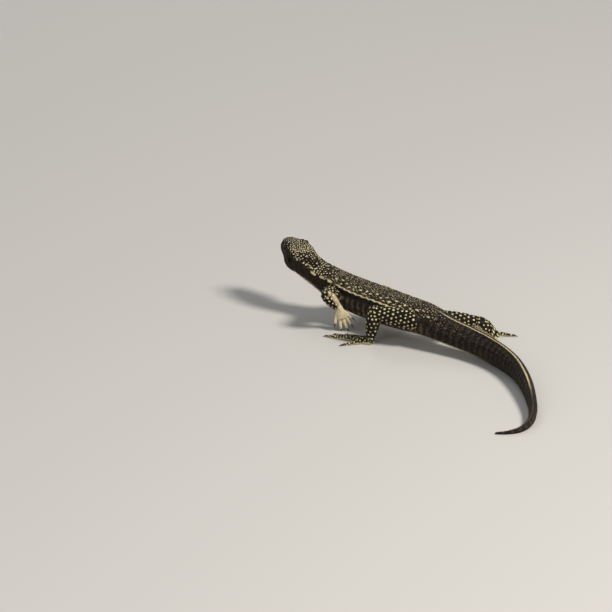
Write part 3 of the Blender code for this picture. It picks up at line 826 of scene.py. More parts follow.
def head_relief(points):
    """How far the head's skin stands out, in millimetres: mouth, nostrils, ears and bones."""
    x, y, z = in_head(points).T
    side = np.abs(y)
    closing = step_up(x, 15, 22)
    line = z - mouth_height(x)
    relief = -1.25 * bump(line, 0.62) * closing
    relief += 0.42 * (bump(line - 2.1, 1.3) + bump(line + 2.1, 1.3)) * closing * (side > 2)
    relief += 0.5 * bump(x - 14, 5) * bump(line, 6) * step_up(side, 18, 24)
    slit = nostril_size(x, z, 2.7, 0.95)
    relief += step_up(side, 8, 12) * (-2.0 * step_down(slit, 0.5, 1.15) + 0.4 * bump(slit - 1.6, 0.5))
    hole = ear_size(x, z)
    relief += step_up(side, 20, 23) * (-2.4 * step_down(hole, 0.6, 1.05) + 0.5 * bump(hole - 1.35, 0.35))
    relief += 0.6 * bump(side - 10, 4) * bump(x - 40, 14) * step_up(z, 10, 15)
    relief -= 0.5 * bump(y, 4) * bump(x - 52, 12) * step_up(z, 8, 13)
    relief += 0.7 * bump(x - 18, 8) * bump(z - 13, 5) * step_up(side, 12, 18)
    relief -= 0.45 * bump(side - 15.5, 2.2) * bump(x - 50, 8) * bump(z - 9.5, 2.5)
    return relief * step_up(x, -8, 2)


def body_relief(numbers, along, angle):
    """Folds and wrinkles of the skin away from the head, in millimetres."""
    from_top = np.degrees(np.abs(turn_from_top(angle)))
    spine = numbers == 0
    trunk = spine * step_up(along, -0.02, 0.02) * step_down(along, 0.3, 0.33)
    wander = 0.004 * np.sin(along * 63) + 0.002 * np.sin(along * 171 + from_top * 0.1)
    off = from_top - fold_angle(along) + wander * 900
    fold = 1.3 * bump(off, 5.5) - 0.5 * bump(off - 14, 7)
    relief = trunk * fold * step_up(along, 0.02, 0.06) * step_down(along, 0.22, 0.26)
    ribs = np.sin((along + wander * 1.3) * math.tau / 0.0135 + from_top * 0.025)
    relief += trunk * 0.32 * ribs * bump(from_top - 98, 24) * step_down(along, 0.2, 0.23)
    neck = spine * step_up(along, 0.2, 0.24)
    creases = np.sin((along + 0.0035 * np.cos(np.radians(from_top) * 2.2)) * math.tau / 0.0115)
    relief -= neck * 0.75 * np.clip(creases, 0, 1) ** 2 * step_up(from_top, 70, 115)
    relief += neck * 0.35 * np.sin(along * 520) * bump(from_top - 80, 20)
    tail = spine * step_down(along, -0.05, -0.01)
    relief += tail * 0.16 * np.sin(along * math.tau / 0.0087)
    for axis in Axis.every:
        if axis.kind != "limb":
            continue
        mine = numbers == axis.number
        bend = axis.along[LEG_SAMPLES - 1]
        upper, lower = along / bend, (along - bend) / (axis.along[-1] - bend)
        relief += mine * 0.35 * bump((along - bend) / MM, 8) * np.sin((along - bend) * math.tau / 0.0042)
        hollows = 1.5 * bump(upper - 0.9, 0.16) + 0.9 * bump(lower - 0.95, 0.2)
        relief -= mine * (hollows + 0.5 * bump(upper - 0.25, 0.15))
    return relief


def smooth_points(points, edges, weight, rounds, back=0.5):
    """Relaxes points towards their neighbours, and back by a part that keeps the form from shrinking."""
    count = np.maximum(np.bincount(edges.ravel(), minlength=len(points)), 1)
    for step in range(rounds):
        middle = np.empty_like(points)
        for axis in range(3):
            total = np.bincount(edges[:, 0], points[edges[:, 1], axis], minlength=len(points))
            total += np.bincount(edges[:, 1], points[edges[:, 0], axis], minlength=len(points))
            middle[:, axis] = total / count
        factor = 0.55 if step % 2 == 0 else -back
        points = points + (factor * weight)[:, None] * (middle - points)
    return points


def refine_details(mesh):
    """Divides the faces of the skin again on the head, where lips, nostrils and ears are fine."""
    points, _, _ = arrays_of(mesh)
    x, y, z = in_head(points).T
    fine = (np.abs(z - mouth_height(x)) < 3.2) & (x > 12) & (x < 90) & (np.abs(y) < 34)
    for place, reach in ((NOSTRIL_PLACE, 6.5), (EAR_PLACE, 9.0)):
        middle = place / MM
        fine |= (x - middle.x) ** 2 + (np.abs(y) - middle.y) ** 2 + (z - middle.z) ** 2 < reach**2
    shape = bmesh.new()
    shape.from_mesh(mesh)
    shape.verts.ensure_lookup_table()
    edges = [edge for edge in shape.edges if fine[edge.verts[0].index] and fine[edge.verts[1].index]]
    bmesh.ops.subdivide_edges(shape, edges=edges, cuts=1, use_grid_fill=True)
    shape.to_mesh(mesh)
    shape.free()
    mesh.update()


def joined_flesh():
    """All the flesh as one surface: the CAD nodes, and rounder hands, feet, joints and roots of the legs."""
    shape = bmesh.new()
    for node in FLESH:
        if node not in FEET:
            add_swollen_copy(shape, node)
    for name in LEGS:
        add_foot(shape, name)
        joints = [Vector(joint) * MM + Vector(HIP_PLACE) for joint in LEGS[name]]
        radii = ARM_RADII if name.startswith("front") else LEG_RADII
        for joint, radius in zip(joints[1:], radii[1:]):
            add_ball(shape, joint, radius * JOINT_FILL * MM)
        add_webs(shape, name, joints, radii)
    thing = add_piece("skin_form", mesh_from("skin", shape))
    remesh = thing.modifiers.new("one surface", "REMESH")
    remesh.mode = "VOXEL"
    remesh.voxel_size = VOXEL
    joined = finished_mesh(thing)
    bpy.data.objects.remove(thing, do_unlink=True)
    return joined


def build_skin():
    """One smooth skin with its folds over every solid but the eyes, as deep as the scales are high."""
    mesh = joined_flesh()
    refine_details(mesh)
    points, _, _ = arrays_of(mesh)
    edges = read_all(mesh.edges, "vertices", 2, int)
    numbers, along, angle, _ = find_on_axes(points)
    kinds = kinds_of(numbers)
    weight = np.where(kinds == "head", 0.55, np.where(kinds == "toe", 0.6, 1.0))
    points = smooth_points(points, edges, weight, SMOOTH_ROUNDS)
    rounding = np.zeros(len(points))
    for name, joints in LEGS.items():
        heel = (np.array(foot_matrix(name) @ Vector((-6 * MM, 0, 4 * MM))) - HIP_PLACE) / MM
        for joint, reach in zip((*joints, heel), ROUNDING):
            distance = np.linalg.norm(points - np.array(joint) * MM - HIP_PLACE, axis=1) / MM
            rounding = np.maximum(rounding, bump(distance, reach))
    points = smooth_points(points, edges, rounding * (kinds != "toe"), JOINT_ROUNDS, back=-0.5)
    set_points(mesh, points)
    points, normals, _ = arrays_of(mesh)
    relief = body_relief(numbers, along, angle)
    relief += head_relief(points) * ((kinds == "head") | ((numbers == 0) & (along > 0.27)))
    points = points + normals * ((relief * MM) - COAT_DEPTH - GAP_CLOSING * 0.6)[:, None]
    points[:, 2] = np.maximum(points[:, 2], LEAST_CLEARANCE)
    set_points(mesh, points)
    skin = add_piece("skin", mesh)
    count = sum(len(face.vertices) - 2 for face in mesh.polygons)
    if count > MOST_SKIN_TRIANGLES:
        thin = skin.modifiers.new("thin", "DECIMATE")
        thin.ratio = MOST_SKIN_TRIANGLES / count
        mesh = finished_mesh(skin)
        skin.modifiers.clear()
        skin.data = mesh
    skin.data.shade_smooth()
    return skin


def nearest_of(taken, points):
    """For each point the number of the nearest of the taken places, and how far it is."""
    finder = KDTree(len(taken))
    for index, place in enumerate(taken.tolist()):
        finder.insert(place, index)
    finder.balance()
    found = np.array([finder.find(point)[1:] for point in points.tolist()]).reshape(-1, 2)
    return found[:, 0].astype(int), found[:, 1]


class Coat:
    """The scales so far, in batches of rows, and the skin under them."""

    def __init__(self, skin_tree):
        self.tree = skin_tree
        self.rows = []

    def add(self, rows):
        self.rows.append(np.array(rows))

    def all(self):
        return np.vstack(self.rows)

    def clear_of_others(self, points, least):
        """Which of the points keep a distance from every scale so far."""
        return nearest_of(self.all()[:, :3], points)[1] > least


def region_of(axis, along):
    if axis.kind == "head":
        return 0
    if axis.kind == "body":
        return 1 if along > NECK_START else 2 if along > TRUNK_START else 3
    return 4 if axis.name.startswith("front") else 5


def blend(first, second, part):
    """Two rows of sizes mixed, by the part that the second one has."""
    return np.array(first) * (1 - part) + np.array(second) * part


def scale_row(axis, along):
    """The sizes of the scales of a ring on top and below, and how strong their keels are."""
    if axis.kind == "body":
        nape = float(step_up(along, 0.17, 0.24))
        tail = 1 - float(step_up(along, -0.06, 0.0))
        tip = 1 - float(step_up(along, -0.52, -0.3))
        rear = blend(TAIL_SCALES, TIP_SCALES, tip)
        top = blend(blend(TRUNK_SCALES, NAPE_SCALES, nape), rear, tail)
        under = blend(blend(BELLY_SCALES, THROAT_SCALES, 0.4 * nape), rear, tail)
        return top, under, 0.75 * tail + 0.12
    sizes = np.array(LEG_SCALES[axis.kind])
    return sizes, sizes * (1, 0.95, 0.8, 1), 0.1


def ring_turns(axis, at, across_top, across_under, shift):
    """Angles round a section that part it into scales, wider apart where the scales are wider."""
    turns = np.linspace(-math.pi / 2, 1.5 * math.pi, 241)
    reach = section_reach(axis, np.full(241, at), turns)
    outline = np.column_stack([reach * np.cos(turns), reach * np.sin(turns)])
    under = step_up(-np.sin(turns), 0.1, 0.7)
    pitch = across_top * (1 - under) + across_under * under
    steps = np.linalg.norm(np.diff(outline, axis=0), axis=1) / ((pitch[1:] + pitch[:-1]) / 2)
    run = np.concatenate([[0.0], np.cumsum(steps)])
    count = max(6, round(run[-1]))
    wanted = (np.arange(count) + 0.5 + shift) / count * run[-1]
    places = np.column_stack([np.interp(wanted, run, column) for column in (turns, *outline.T, under)])
    return places, run[-1] / count


def scale_rings(coat, axis):
    """Rows of scales round one part of the animal, each row set half a scale from the last."""
    end = axis.along[-1]
    along, number = axis.along[0] + 0.4 * MM, 0
    rows = []
    while along < end + (3.0 * MM if axis.kind == "toe" else 0.0):
        top, under, keel = scale_row(axis, along)
        at = min(int(np.searchsorted(axis.along, along)), len(axis.along) - 1)
        middle, forward, left, up = axis.at(along)
        middle = middle + forward * max(0.0, along - end)
        turns, stretch = ring_turns(axis, at, top[1] * MM, under[1] * MM, 0.5 * (number % 2))
        draws = DRAW.random((len(turns), 5))
        lean = (draws[:, 0] - 0.5) * 0.14 * top[0] * MM
        for (_, x, y, below), draw, slip in zip(turns.tolist(), draws.tolist(), lean.tolist()):
            way = left * x + up * y
            far = math.hypot(x, y)
            start = Vector(middle + forward * slip)
            hit, normal, _, distance = coat.tree.ray_cast(start, Vector(way / far), far * 1.5 + 3 * MM)
            if hit is None or distance < far * 0.6 or normal.dot(Vector(way)) < 0:
                continue
            long, wide, tall, power = (a * (1 - below) + b * below for a, b in zip(top, under))
            vary = 0.93 + 0.1 * draw[1]
            rows.append((
                *hit, *normal, *forward, long * vary * MM * 1.04, wide * stretch * vary * MM * 1.03,
                tall * (0.85 + 0.3 * draw[2]) * MM, power, keel * (1 - 0.7 * below), region_of(axis, along),
            ))
        along += (top[0] * 0.93) * MM
        number += 1
    if rows:
        keep_rows(coat, axis, np.array(rows))


def keep_rows(coat, axis, rows):
    """Adds the scales that lie on their own part, clear of the openings and of the scales before them."""
    numbers, *_ = find_on_axes(rows[:, :3])
    rows = rows[(numbers == axis.number) & ~bare(rows[:, :3])]
    coat.add(rows[coat.clear_of_others(rows[:, :3], LEAST_SPACING * rows[:, WIDTH])])


def bare(points):
    """Where no scale grows: in the mouth, nostrils and ears, round the eyes, and under the claws."""
    x, y, z = in_head(points).T
    side = np.abs(y)
    eye = EYE_PLACE / MM
    found = (np.abs(z - mouth_height(x)) < 0.75) & (x > 17) & (x < 80)
    found |= (nostril_size(x, z, 2.9, 1.15) < 1.12) & (side > 8) & (x < 80)
    found |= (ear_size(x, z) < 1.12) & (side > 18)
    found |= np.sqrt((x - eye.x) ** 2 + (side - eye.y) ** 2 + (z - eye.z) ** 2) < 6.5
    found &= (x > -20) & (x < 90) & (side < 45) & (np.abs(z) < 45)
    for name in LEGS:
        for toe, _ in digit_lines(name):
            tip = toe[-1, :3]
            way = unit(tip - toe[-2, :3])
            offset = points - tip
            ahead = offset @ way
            beside = np.linalg.norm(offset - ahead[:, None] * way, axis=1)
            found |= (ahead > 0.3 * MM) & (ahead < 6 * MM) & (beside < 2.0 * MM)
    return found


def spread_out(points, gaps, taken, most):
    """Numbers of the points, in order, that stay a gap away from those kept before and those taken."""
    cell = float(gaps.max())
    grid = {}
    for point in taken.tolist():
        grid.setdefault(tuple(int(value // cell) for value in point), []).append(point)
    around = [(a, b, c) for a in (-1, 0, 1) for b in (-1, 0, 1) for c in (-1, 0, 1)]
    kept = []
    for index, (point, gap) in enumerate(zip(points.tolist(), gaps.tolist())):
        i, j, k = (int(value // cell) for value in point)
        x, y, z = point
        square = gap * gap
        for a, b, c in around:
            found = grid.get((i + a, j + b, k + c))
            if found and any((x - p[0]) ** 2 + (y - p[1]) ** 2 + (z - p[2]) ** 2 < square for p in found):
                break
        else:
            grid.setdefault((i, j, k), []).append(point)
            kept.append(index)
            if len(kept) >= most:
                break
    return np.array(kept, int)


def random_places(points, triangles, count):
    """Places strewn evenly over a mesh's triangles, and the number of each one's triangle."""
    corners = points[triangles]
    areas = np.linalg.norm(np.cross(corners[:, 1] - corners[:, 0], corners[:, 2] - corners[:, 0]), axis=1)
    chosen = DRAW.choice(len(triangles), count, p=areas / areas.sum())
    a, b = DRAW.random((2, count))
    over = a + b > 1
    a, b = (np.where(over, 1 - part, part)[:, None] for part in (a, b))
    first, second, third = (corners[chosen, corner] for corner in range(3))
    return first + a * (second - first) + b * (third - first), chosen


def head_gaps(places, ways):
    """The least distance between the head's scales: small on the snout, larger on crown and throat."""
    facing_up = ways @ HEAD_UP
    top, throat = step_up(facing_up, 0.2, 0.8), step_up(-facing_up, 0.1, 0.6)
    front = step_up(in_head(places)[:, 0], 42, 60)
    return (1.55 + 0.35 * top * (1 - front) - 0.22 * front + 0.15 * throat) * 0.86 * MM


def strew_scales(coat, points, normals, triangles):
    """The head's uneven scales, then middling and small ones wherever the rows have left skin showing."""
    face_normals = unit(normals[triangles].sum(1))
    near_head = np.linalg.norm(in_head(points[triangles[:, 0]]) - (35, 0, 0), axis=1) < 75
    forwards = np.array([axis.forward[len(axis.forward) // 2] for axis in Axis.every])
    for stage, count, clear, stretch, tall in (
        ("head", HEAD_DRAWS, None, 1.42, 0.28),
        ("gaps", FILL_DRAWS, 1.5, 1.26, 0.34),
        ("cracks", FILL_DRAWS, 0.95, 1.15, 0.2),
    ):
        faces = np.flatnonzero(near_head) if stage == "head" else np.arange(len(triangles))
        places, chosen = random_places(points, triangles[faces], count)
        ways = face_normals[faces][chosen]
        kept = ~bare(places)
        places, ways = places[kept], ways[kept]
        if clear:
            kept = coat.clear_of_others(places, clear * MM)
            places, ways = places[kept], ways[kept]
        numbers, along, *_ = find_on_axes(places)
        if stage == "head":
            kept = numbers == 1
            places, ways, along, numbers = places[kept], ways[kept], along[kept], numbers[kept]
            gaps = head_gaps(places, ways)
        else:
            gaps = np.array([STREWN_GAPS[kind] for kind in kinds_of(numbers)])
            gaps = (gaps if stage == "gaps" else np.minimum(1.2, gaps - 0.3)) * MM
        kept = spread_out(places, gaps, coat.all()[:, :3], MOST_STREWN)
        if not len(kept):
            continue
        draws = DRAW.random((len(kept), 3))
        size = gaps[kept] * stretch * (0.9 + 0.2 * draws[:, 0])
        height = tall * MM * (0.8 + 0.4 * draws[:, 1])
        power, keel = np.full(len(kept), 2.9), np.full(len(kept), 0.05)
        regions = [region_of(Axis.every[n], s) for n, s in zip(numbers[kept], along[kept])]
        lie = places[kept], ways[kept], forwards[numbers[kept]]
        coat.add(np.column_stack([*lie, size * 1.04, size * 0.98, height, power, keel, regions]))


def lip_scales(coat):
    """The row of squarish scales along each edge of the mouth."""
    starts = [(x, 90.0) for x in np.arange(17.5, 57, 2.1)]
    starts += [(57.0, spread) for spread in np.linspace(86, 4, 12)]
    rows = []
    for side, upper in ((1, 1), (1, -1), (-1, 1), (-1, -1)):
        for x, spread in starts:
            way = Vector((math.cos(math.radians(spread)), side * math.sin(math.radians(spread)), 0))
            high = float(mouth_height(x + 16.5 * way.x)) + upper * 1.72
            start = HEAD_FRAME @ (Vector((x, 0, high)) * MM)
            hit, normal, _, _ = coat.tree.ray_cast(start, HEAD_TURN @ way, 40 * MM)
            if hit is None:
                continue
            along = HEAD_TURN @ Vector((way.y * side, -way.x * side, 0))
            rows.append((*hit, *normal, *along, 2.0 * MM, 1.75 * MM, 0.34 * MM, 4.2, 0.0, 0))
    coat.add(rows)


def scale_outline(rows):
    """The eight points round each scale's foot, as parts of its half length and half width."""
    reach = (2 / rows[:, POWER])[:, None]
    turned = np.cos(SCALE_TURNS).round(9), np.sin(SCALE_TURNS).round(9)
    return [np.sign(part) * np.abs(part) ** reach for part in turned]


def scale_offsets(rows):
    """How far each of a scale's points lies along and across it from its middle."""
    u, v = scale_outline(rows)
    parts_u = np.hstack([u, SCALE_TOP * u - 0.05, np.full((len(rows), 1), -0.12)]) * rows[:, LENGTH, None] / 2
    parts_v = np.hstack([v, SCALE_TOP * v, np.zeros((len(rows), 1))]) * rows[:, WIDTH, None] / 2
    return parts_u, parts_v


def scale_corners(rows):
    """The place of each scale's points: its foot sunk in the skin, its top and its crown."""
    points, normals, along = rows[:, :3], unit(rows[:, 3:6]), rows[:, 6:9]
    keel = rows[:, KEEL, None]
    along = unit(along - (along * normals).sum(1)[:, None] * normals)
    across = np.cross(normals, along)
    u, _ = scale_outline(rows)
    parts_u, parts_v = scale_offsets(rows)
    ridge = keel * np.abs(np.cos(SCALE_TURNS)) ** 4
    top = 0.8 + 0.3 * ridge - 0.12 * u
    rise = np.hstack([np.full_like(u, -0.5), top, 1.0 + 0.25 * keel]) * rows[:, HEIGHT, None]
    return inside_box(
        points[:, None]
        + parts_u[..., None] * along[:, None]
        + parts_v[..., None] * across[:, None]
        + rise[..., None] * normals[:, None]
    )


def stamp_scales(name, rows, marks, places):
    """One mesh of many scales, each with its own small patch of the unwrap."""
    ring = np.arange(SCALE_SIDES)
    after = (ring + 1) % SCALE_SIDES
    upper, upper_after = ring + SCALE_SIDES, after + SCALE_SIDES
    sides = np.column_stack([ring, after, upper_after, upper])
    tops = np.column_stack([upper, upper_after, np.full(SCALE_SIDES, SCALE_POINTS - 1)])
    loops = np.concatenate([sides.ravel(), tops.ravel(), ring[::-1]])
    sizes = np.array([4] * SCALE_SIDES + [3] * SCALE_SIDES + [SCALE_SIDES])
    starts = np.concatenate([[0], np.cumsum(sizes)[:-1]])
    count = len(rows)
    offsets = np.arange(count)[:, None]
    mesh = bpy.data.meshes.new(name)
    mesh.vertices.add(SCALE_POINTS * count)
    mesh.vertices.foreach_set("co", scale_corners(rows).astype(np.float32).ravel())
    mesh.loops.add(len(loops) * count)
    mesh.loops.foreach_set("vertex_index", (loops[None] + SCALE_POINTS * offsets).astype(np.int32).ravel())
    mesh.polygons.add(len(sizes) * count)
    mesh.polygons.foreach_set("loop_start", (starts[None] + len(loops) * offsets).astype(np.int32).ravel())
    mesh.update(calc_edges=True)
    mesh.validate()
    middle = np.zeros((count, 1))
    patch = np.stack([np.hstack([part, 0.72 * part, middle]) for part in scale_outline(rows)], -1)
    keep_unwrap(mesh, (places[:, None] + patch * PATCH / 2)[:, loops])
    keep_marks(mesh, marks.reshape(-1, 4))
    mesh.shade_smooth()
    return add_piece(name, mesh)


def lay_out_strips():
    """Where the unwrap of each part lies on the map: one strip for each axis, and one more for the tail."""
    strips = []
    for axis in Axis.every:
        radius = (axis.half_width + axis.rise + axis.drop) / 3
        first, last = axis.along[0], axis.along[-1]
        cuts = ((0, first, 0.0), (1, 0.0, last)) if axis.number == 0 else ((1, first, last),)
        for part, start, end in cuts:
            inside = (axis.along >= start) & (axis.along <= end)
            tall = math.tau * radius[inside].max() * 1.06 + 0.004
            strips.append((axis.number * 2 + part, start - 0.008, end - start + 0.016, tall))
    strips.sort(key=lambda strip: -strip[3])
    table = np.zeros((2 * len(Axis.every), 3))
    for scale in np.arange(UNWRAP_SCALE, 0.8, -0.02):
        u, v, shelf = MAP_EDGE, MAP_EDGE, 0.0
        for key, start, long, tall in strips:
            if u + long * scale > 1 - MAP_EDGE:
                u, v, shelf = MAP_EDGE, v + shelf + MAP_GAP, 0.0
            table[key] = u, v + tall * scale / 2, start
            u += long * scale + MAP_GAP
            shelf = max(shelf, tall * scale)
        if v + shelf < 1 - MAP_EDGE:
            break
    return table, scale


def unwrap_places(layout, numbers, rear, along, turn, radius):
    """Where places fall on the map: along their part's strip, and to each side of its middle."""
    strips, scale = layout
    rows = strips[numbers * 2 + np.where((numbers == 0) & rear, 0, 1)]
    return np.column_stack([rows[:, 0] + (along - rows[:, 2]) * scale, rows[:, 1] + turn * radius * scale])


def unrolled_turn(angle):
    """The turn round a section from its top, cut underneath, where the seam lies."""
    return np.mod(angle + math.pi / 2, math.tau) - math.pi


def unwrap_skin(mesh, points, triangles, layout):
    """The skin's unwrap, each part rolled out along its axis with the seam under the belly."""
    numbers, *_ = find_on_axes(points)
    owner = numbers[triangles[:, 0]]
    values = np.zeros((len(triangles), 3, 3))
    for axis in Axis.every:
        mine = np.flatnonzero(owner == axis.number)
        if len(mine):
            along, angle, radius, _ = place_on_axis(points[triangles[mine]].reshape(-1, 3), axis)
            values[mine] = np.column_stack([along, angle, radius]).reshape(-1, 3, 3)
    along, turn, radius = values[..., 0], unrolled_turn(values[..., 1]), values[..., 2]
    turn = turn[:, :1] + np.mod(turn - turn[:, :1] + math.pi, math.tau) - math.pi
    owner, rear = np.repeat(owner, 3), np.repeat(along.mean(1) < 0, 3)
    keep_unwrap(mesh, unwrap_places(layout, owner, rear, along.ravel(), turn.ravel(), radius.ravel()))


def build_coat(skin, layout):
    """Every scale of the animal, in pieces small enough to keep."""
    points, normals, triangles = arrays_of(skin.data)
    coat = Coat(BVHTree.FromPolygons(points.tolist(), triangles.tolist(), all_triangles=True))
    lip_scales(coat)
    lid_scales(coat)
    for kind in ("toe", "palm", "limb", "body"):
        for axis in Axis.every:
            if axis.kind == kind:
                scale_rings(coat, axis)
    strew_scales(coat, points, normals, triangles)
    rows = coat.all()
    numbers, along, angle, radius = find_on_axes(rows[:, :3])
    places = unwrap_places(layout, numbers, along < 0, along, unrolled_turn(angle), radius)
    marks, dots = scale_markings(rows, numbers, along, turn_from_top(angle), radius)
    pieces = []
    for number, region in enumerate(REGIONS):
        mine = np.flatnonzero(rows[:, REGION] == number)
        batches = np.array_split(mine, max(1, math.ceil(len(mine) / PIECE_SCALES)))
        for batch, chosen in enumerate(batches, 1):
            name = f"scales_{region}_{batch}"
            pieces.append(stamp_scales(name, rows[chosen], marks[chosen], places[chosen]))
    return pieces, rows[:, :3], dots


def scale_markings(rows, numbers, along, turn, radius):
    """The markings at each scale's points, and how pale each scale is as a lone dot."""
    dots = lone_dots(Places(numbers, along, turn, radius))
    ahead, round_it = (part[:, SCALE_SIDES:] for part in scale_offsets(rows))
    each = ahead.shape[1]
    known = numbers, along, turn, radius, dots
    numbers, along, turn, radius, dot = (np.repeat(values, each) for values in known)
    at = Places(numbers, along + ahead.ravel(), turn + round_it.ravel() / radius, radius)
    marks = markings_and_painted_light(at, np.repeat(unit(rows[:, 3:6]), each, axis=0), dot).reshape(-1, each, 4)
    vary = (DRAW.random((len(rows), 1, 3)) - 0.5) * (0.1, 0.3, 0.3)
    marks[..., :3] = np.clip(marks[..., :3] + vary, 0, 1)
    return np.concatenate([marks[:, :SCALE_SIDES], marks], axis=1), dots


def mark_surface(mesh, factors=1.0, scale_places=None, dots=None):
    """Keeps the same markings on a smooth surface, with each dot's skin as pale as its scale."""
    points, normals, _ = arrays_of(mesh)
    pale = np.zeros(len(points))
    if dots is not None:
        nearest, distance = nearest_of(scale_places, points)
        pale = dots[nearest] * (distance < DOT_REACH)
    numbers, along, angle, radius = find_on_axes(points)
    at = Places(numbers, along, turn_from_top(angle), radius)
    keep_marks(mesh, markings_and_painted_light(at, normals, pale) * factors)


def eye_frame(side):
    """An eye's own directions: X out of the socket, Y towards the snout and Z up, at its middle."""
    turn = HEAD_TURN @ Matrix.Rotation(math.radians(side * EYE_TURN), 3, "Z")
    turn = turn @ Matrix.Rotation(math.radians(EYE_TILT), 3, "Y")
    out, forward, up = turn.col[0], turn.col[1] * -side, turn.col[2]
    middle = HEAD_FRAME @ Vector((EYE_PLACE.x, EYE_PLACE.y * side, EYE_PLACE.z))
    return middle, out, forward, up


def lid_edge(turn):
    """The angle from the eye's axis at which the lids open, round the eye."""
    above, below, front, rear = LID_OPENING
    high = above if math.sin(turn) > 0 else below
    corner = front if math.cos(turn) > 0 else rear
    return 1 / math.hypot(math.cos(turn) / corner, math.sin(turn) / high)


def lid_point(eye, turn, spread, reach):
    middle, out, forward, up = eye
    lean = math.radians(spread)
    way = forward * math.cos(turn) + up * math.sin(turn)
    return middle + (out * math.cos(lean) + way * math.sin(lean)) * reach * MM


def lid_profile(turn):
    """The lids' section at one place: angles past their edge and distances from the eye's middle."""
    heavy = 0.35 * max(0.0, math.sin(turn))
    return [(past, reach + heavy * part) for past, reach, part in LID_PROFILE]


def build_lids():
    """The thick scaly lids of both eyes, round openings longer than they are high."""
    shape = bmesh.new()
    for side in (1, -1):
        eye = eye_frame(side)
        columns = []
        for turn in circle(56):
            edge = lid_edge(turn)
            section = [(min(edge + past, LID_END), reach) for past, reach in lid_profile(turn)]
            columns.append([lid_point(eye, turn, spread, reach) for spread, reach in section])
        loops = bridge_rings(shape, zip(*columns))
        bmesh.ops.bridge_loops(shape, edges=loops[0] + loops[-1])
    bmesh.ops.recalc_face_normals(shape, faces=shape.faces[:])
    mesh = mesh_from("eyelids", shape, smooth=True)
    mark_surface(mesh, (0.5, 1, 1, 1))
    return add_piece("eyelids", mesh)


def lid_scales(coat):
    """Rows of beads round the lids, smallest at their edge."""
    rows = []
    around = [*circle(120), math.tau]
    for side in (1, -1):
        eye = eye_frame(side)
        middle, _, forward, up = eye
        for row, (past, size) in enumerate(LID_SCALE_ROWS):
            path = [lid_point(eye, turn, lid_edge(turn) + past, 6.5) for turn in around]
            run = np.concatenate([[0.0], np.cumsum([(b - a).length for a, b in zip(path, path[1:])])]) / MM
            count = round(run[-1] / size)
            wanted = (np.arange(count) + 0.5 * (row % 2)) / count * run[-1]
            for turn in np.interp(wanted, run, np.linspace(0, math.tau, 121)):
                spread = lid_edge(turn) + past
                if spread > LAST_LID_SCALE:
                    continue
                profile = np.array(lid_profile(turn))
                point = lid_point(eye, turn, spread, float(np.interp(past, profile[2:, 0], profile[2:, 1])))
                normal = (point - middle).normalized()
                along = (up * math.cos(turn) - forward * math.sin(turn)).normalized()
                rows.append((*point, *normal, *along, size * MM, size * 0.95 * MM, 0.2 * MM, 2.4, 0.0, 0))
    coat.add(rows)


def build_eye(side, word):
    """A moist eyeball whose iris and pupil are told apart by their angle from its axis."""
    middle, out, forward, up = eye_frame(side)
    shape = bmesh.new()
    bmesh.ops.create_uvsphere(shape, u_segments=64, v_segments=40, radius=EYE_RADIUS)
    turn = Matrix((forward, up, out)).transposed()
    bmesh.ops.transform(shape, matrix=Matrix.Translation(middle) @ turn.to_4x4(), verts=shape.verts[:])
    bmesh.ops.recalc_face_normals(shape, faces=shape.faces[:])
    mesh = mesh_from(f"eyeball_{word}", shape, smooth=True)
    points, _, _ = arrays_of(mesh)
    lean = np.arccos(np.clip(unit(points - np.array(middle)) @ np.array(out), -1, 1))
    layer = mesh.attributes.new("lean", "FLOAT", "POINT")
    layer.data.foreach_set("value", np.degrees(lean).astype(np.float32))
    return add_piece(f"eyeball_{word}", mesh)


def build_claws(name):
    """The curved claws of a hand or foot, flattened a little at the sides, each rooted in its toe."""
    shape = bmesh.new()
    up = foot_matrix(name).to_3x3() @ Vector((0, 0, 1))
    for _, claw in digit_lines(name):
        root = claw[0, :3] - unit(claw[1, :3] - claw[0, :3]) * CLAW_ROOT
        rows, ways = smooth_run(np.vstack([(*root, claw[0, 3] * 0.95), claw]), 26)
        rings = []
        for row, way in zip(rows, ways):
            forward = Vector(way)
            side = up.cross(forward).normalized()
            over = forward.cross(side)
            radius = max(row[3], LEAST_CLAW)
            rings.append([
                Vector(row[:3]) + (side * math.cos(turn) * 0.74 + over * math.sin(turn) * 1.08) * radius
                for turn in circle(14)
            ])
        add_loft(shape, rings)
    bmesh.ops.recalc_face_normals(shape, faces=shape.faces[:])
    mesh = mesh_from(f"claws_{name}", shape, smooth=True)
    set_points(mesh, inside_box(arrays_of(mesh)[0]))
    return add_piece(f"claws_{name}", mesh)


def add_node(tree, kind, **values):
    """A shader node with its inputs or settings set by name."""
    node = tree.nodes.new(kind)
    for key, value in values.items():
        if key in node.inputs:
            node.inputs[key].default_value = value
        else:
            setattr(node, key, value)
    return node


def feed(tree, socket, value):
    """Links a socket to another one, or sets it to a fixed value."""
    if isinstance(value, bpy.types.NodeSocket):
        tree.links.new(value, socket)
    else:
        socket.default_value = value


def mix_colours(tree, factor, first, second, blend_type="MIX"):
    """A node that mixes two colours, each a socket or a fixed colour, by a socket or a fixed amount."""
    node = add_node(tree, "ShaderNodeMix", data_type="RGBA", blend_type=blend_type)
    for number, value in ((0, factor), (6, first), (7, second)):
        feed(tree, node.inputs[number], value)
    return node.outputs[2]


def product(tree, first, second):
    node = add_node(tree, "ShaderNodeMath", operation="MULTIPLY")
    feed(tree, node.inputs[0], first)
    feed(tree, node.inputs[1], second)
    return node.outputs[0]


def noise(tree, coordinates, scale, detail=3.0, roughness=0.5):
    node = add_node(tree, "ShaderNodeTexNoise", Scale=scale, Detail=detail, Roughness=roughness)
    feed(tree, node.inputs["Vector"], coordinates)
    return node.outputs["Fac"]


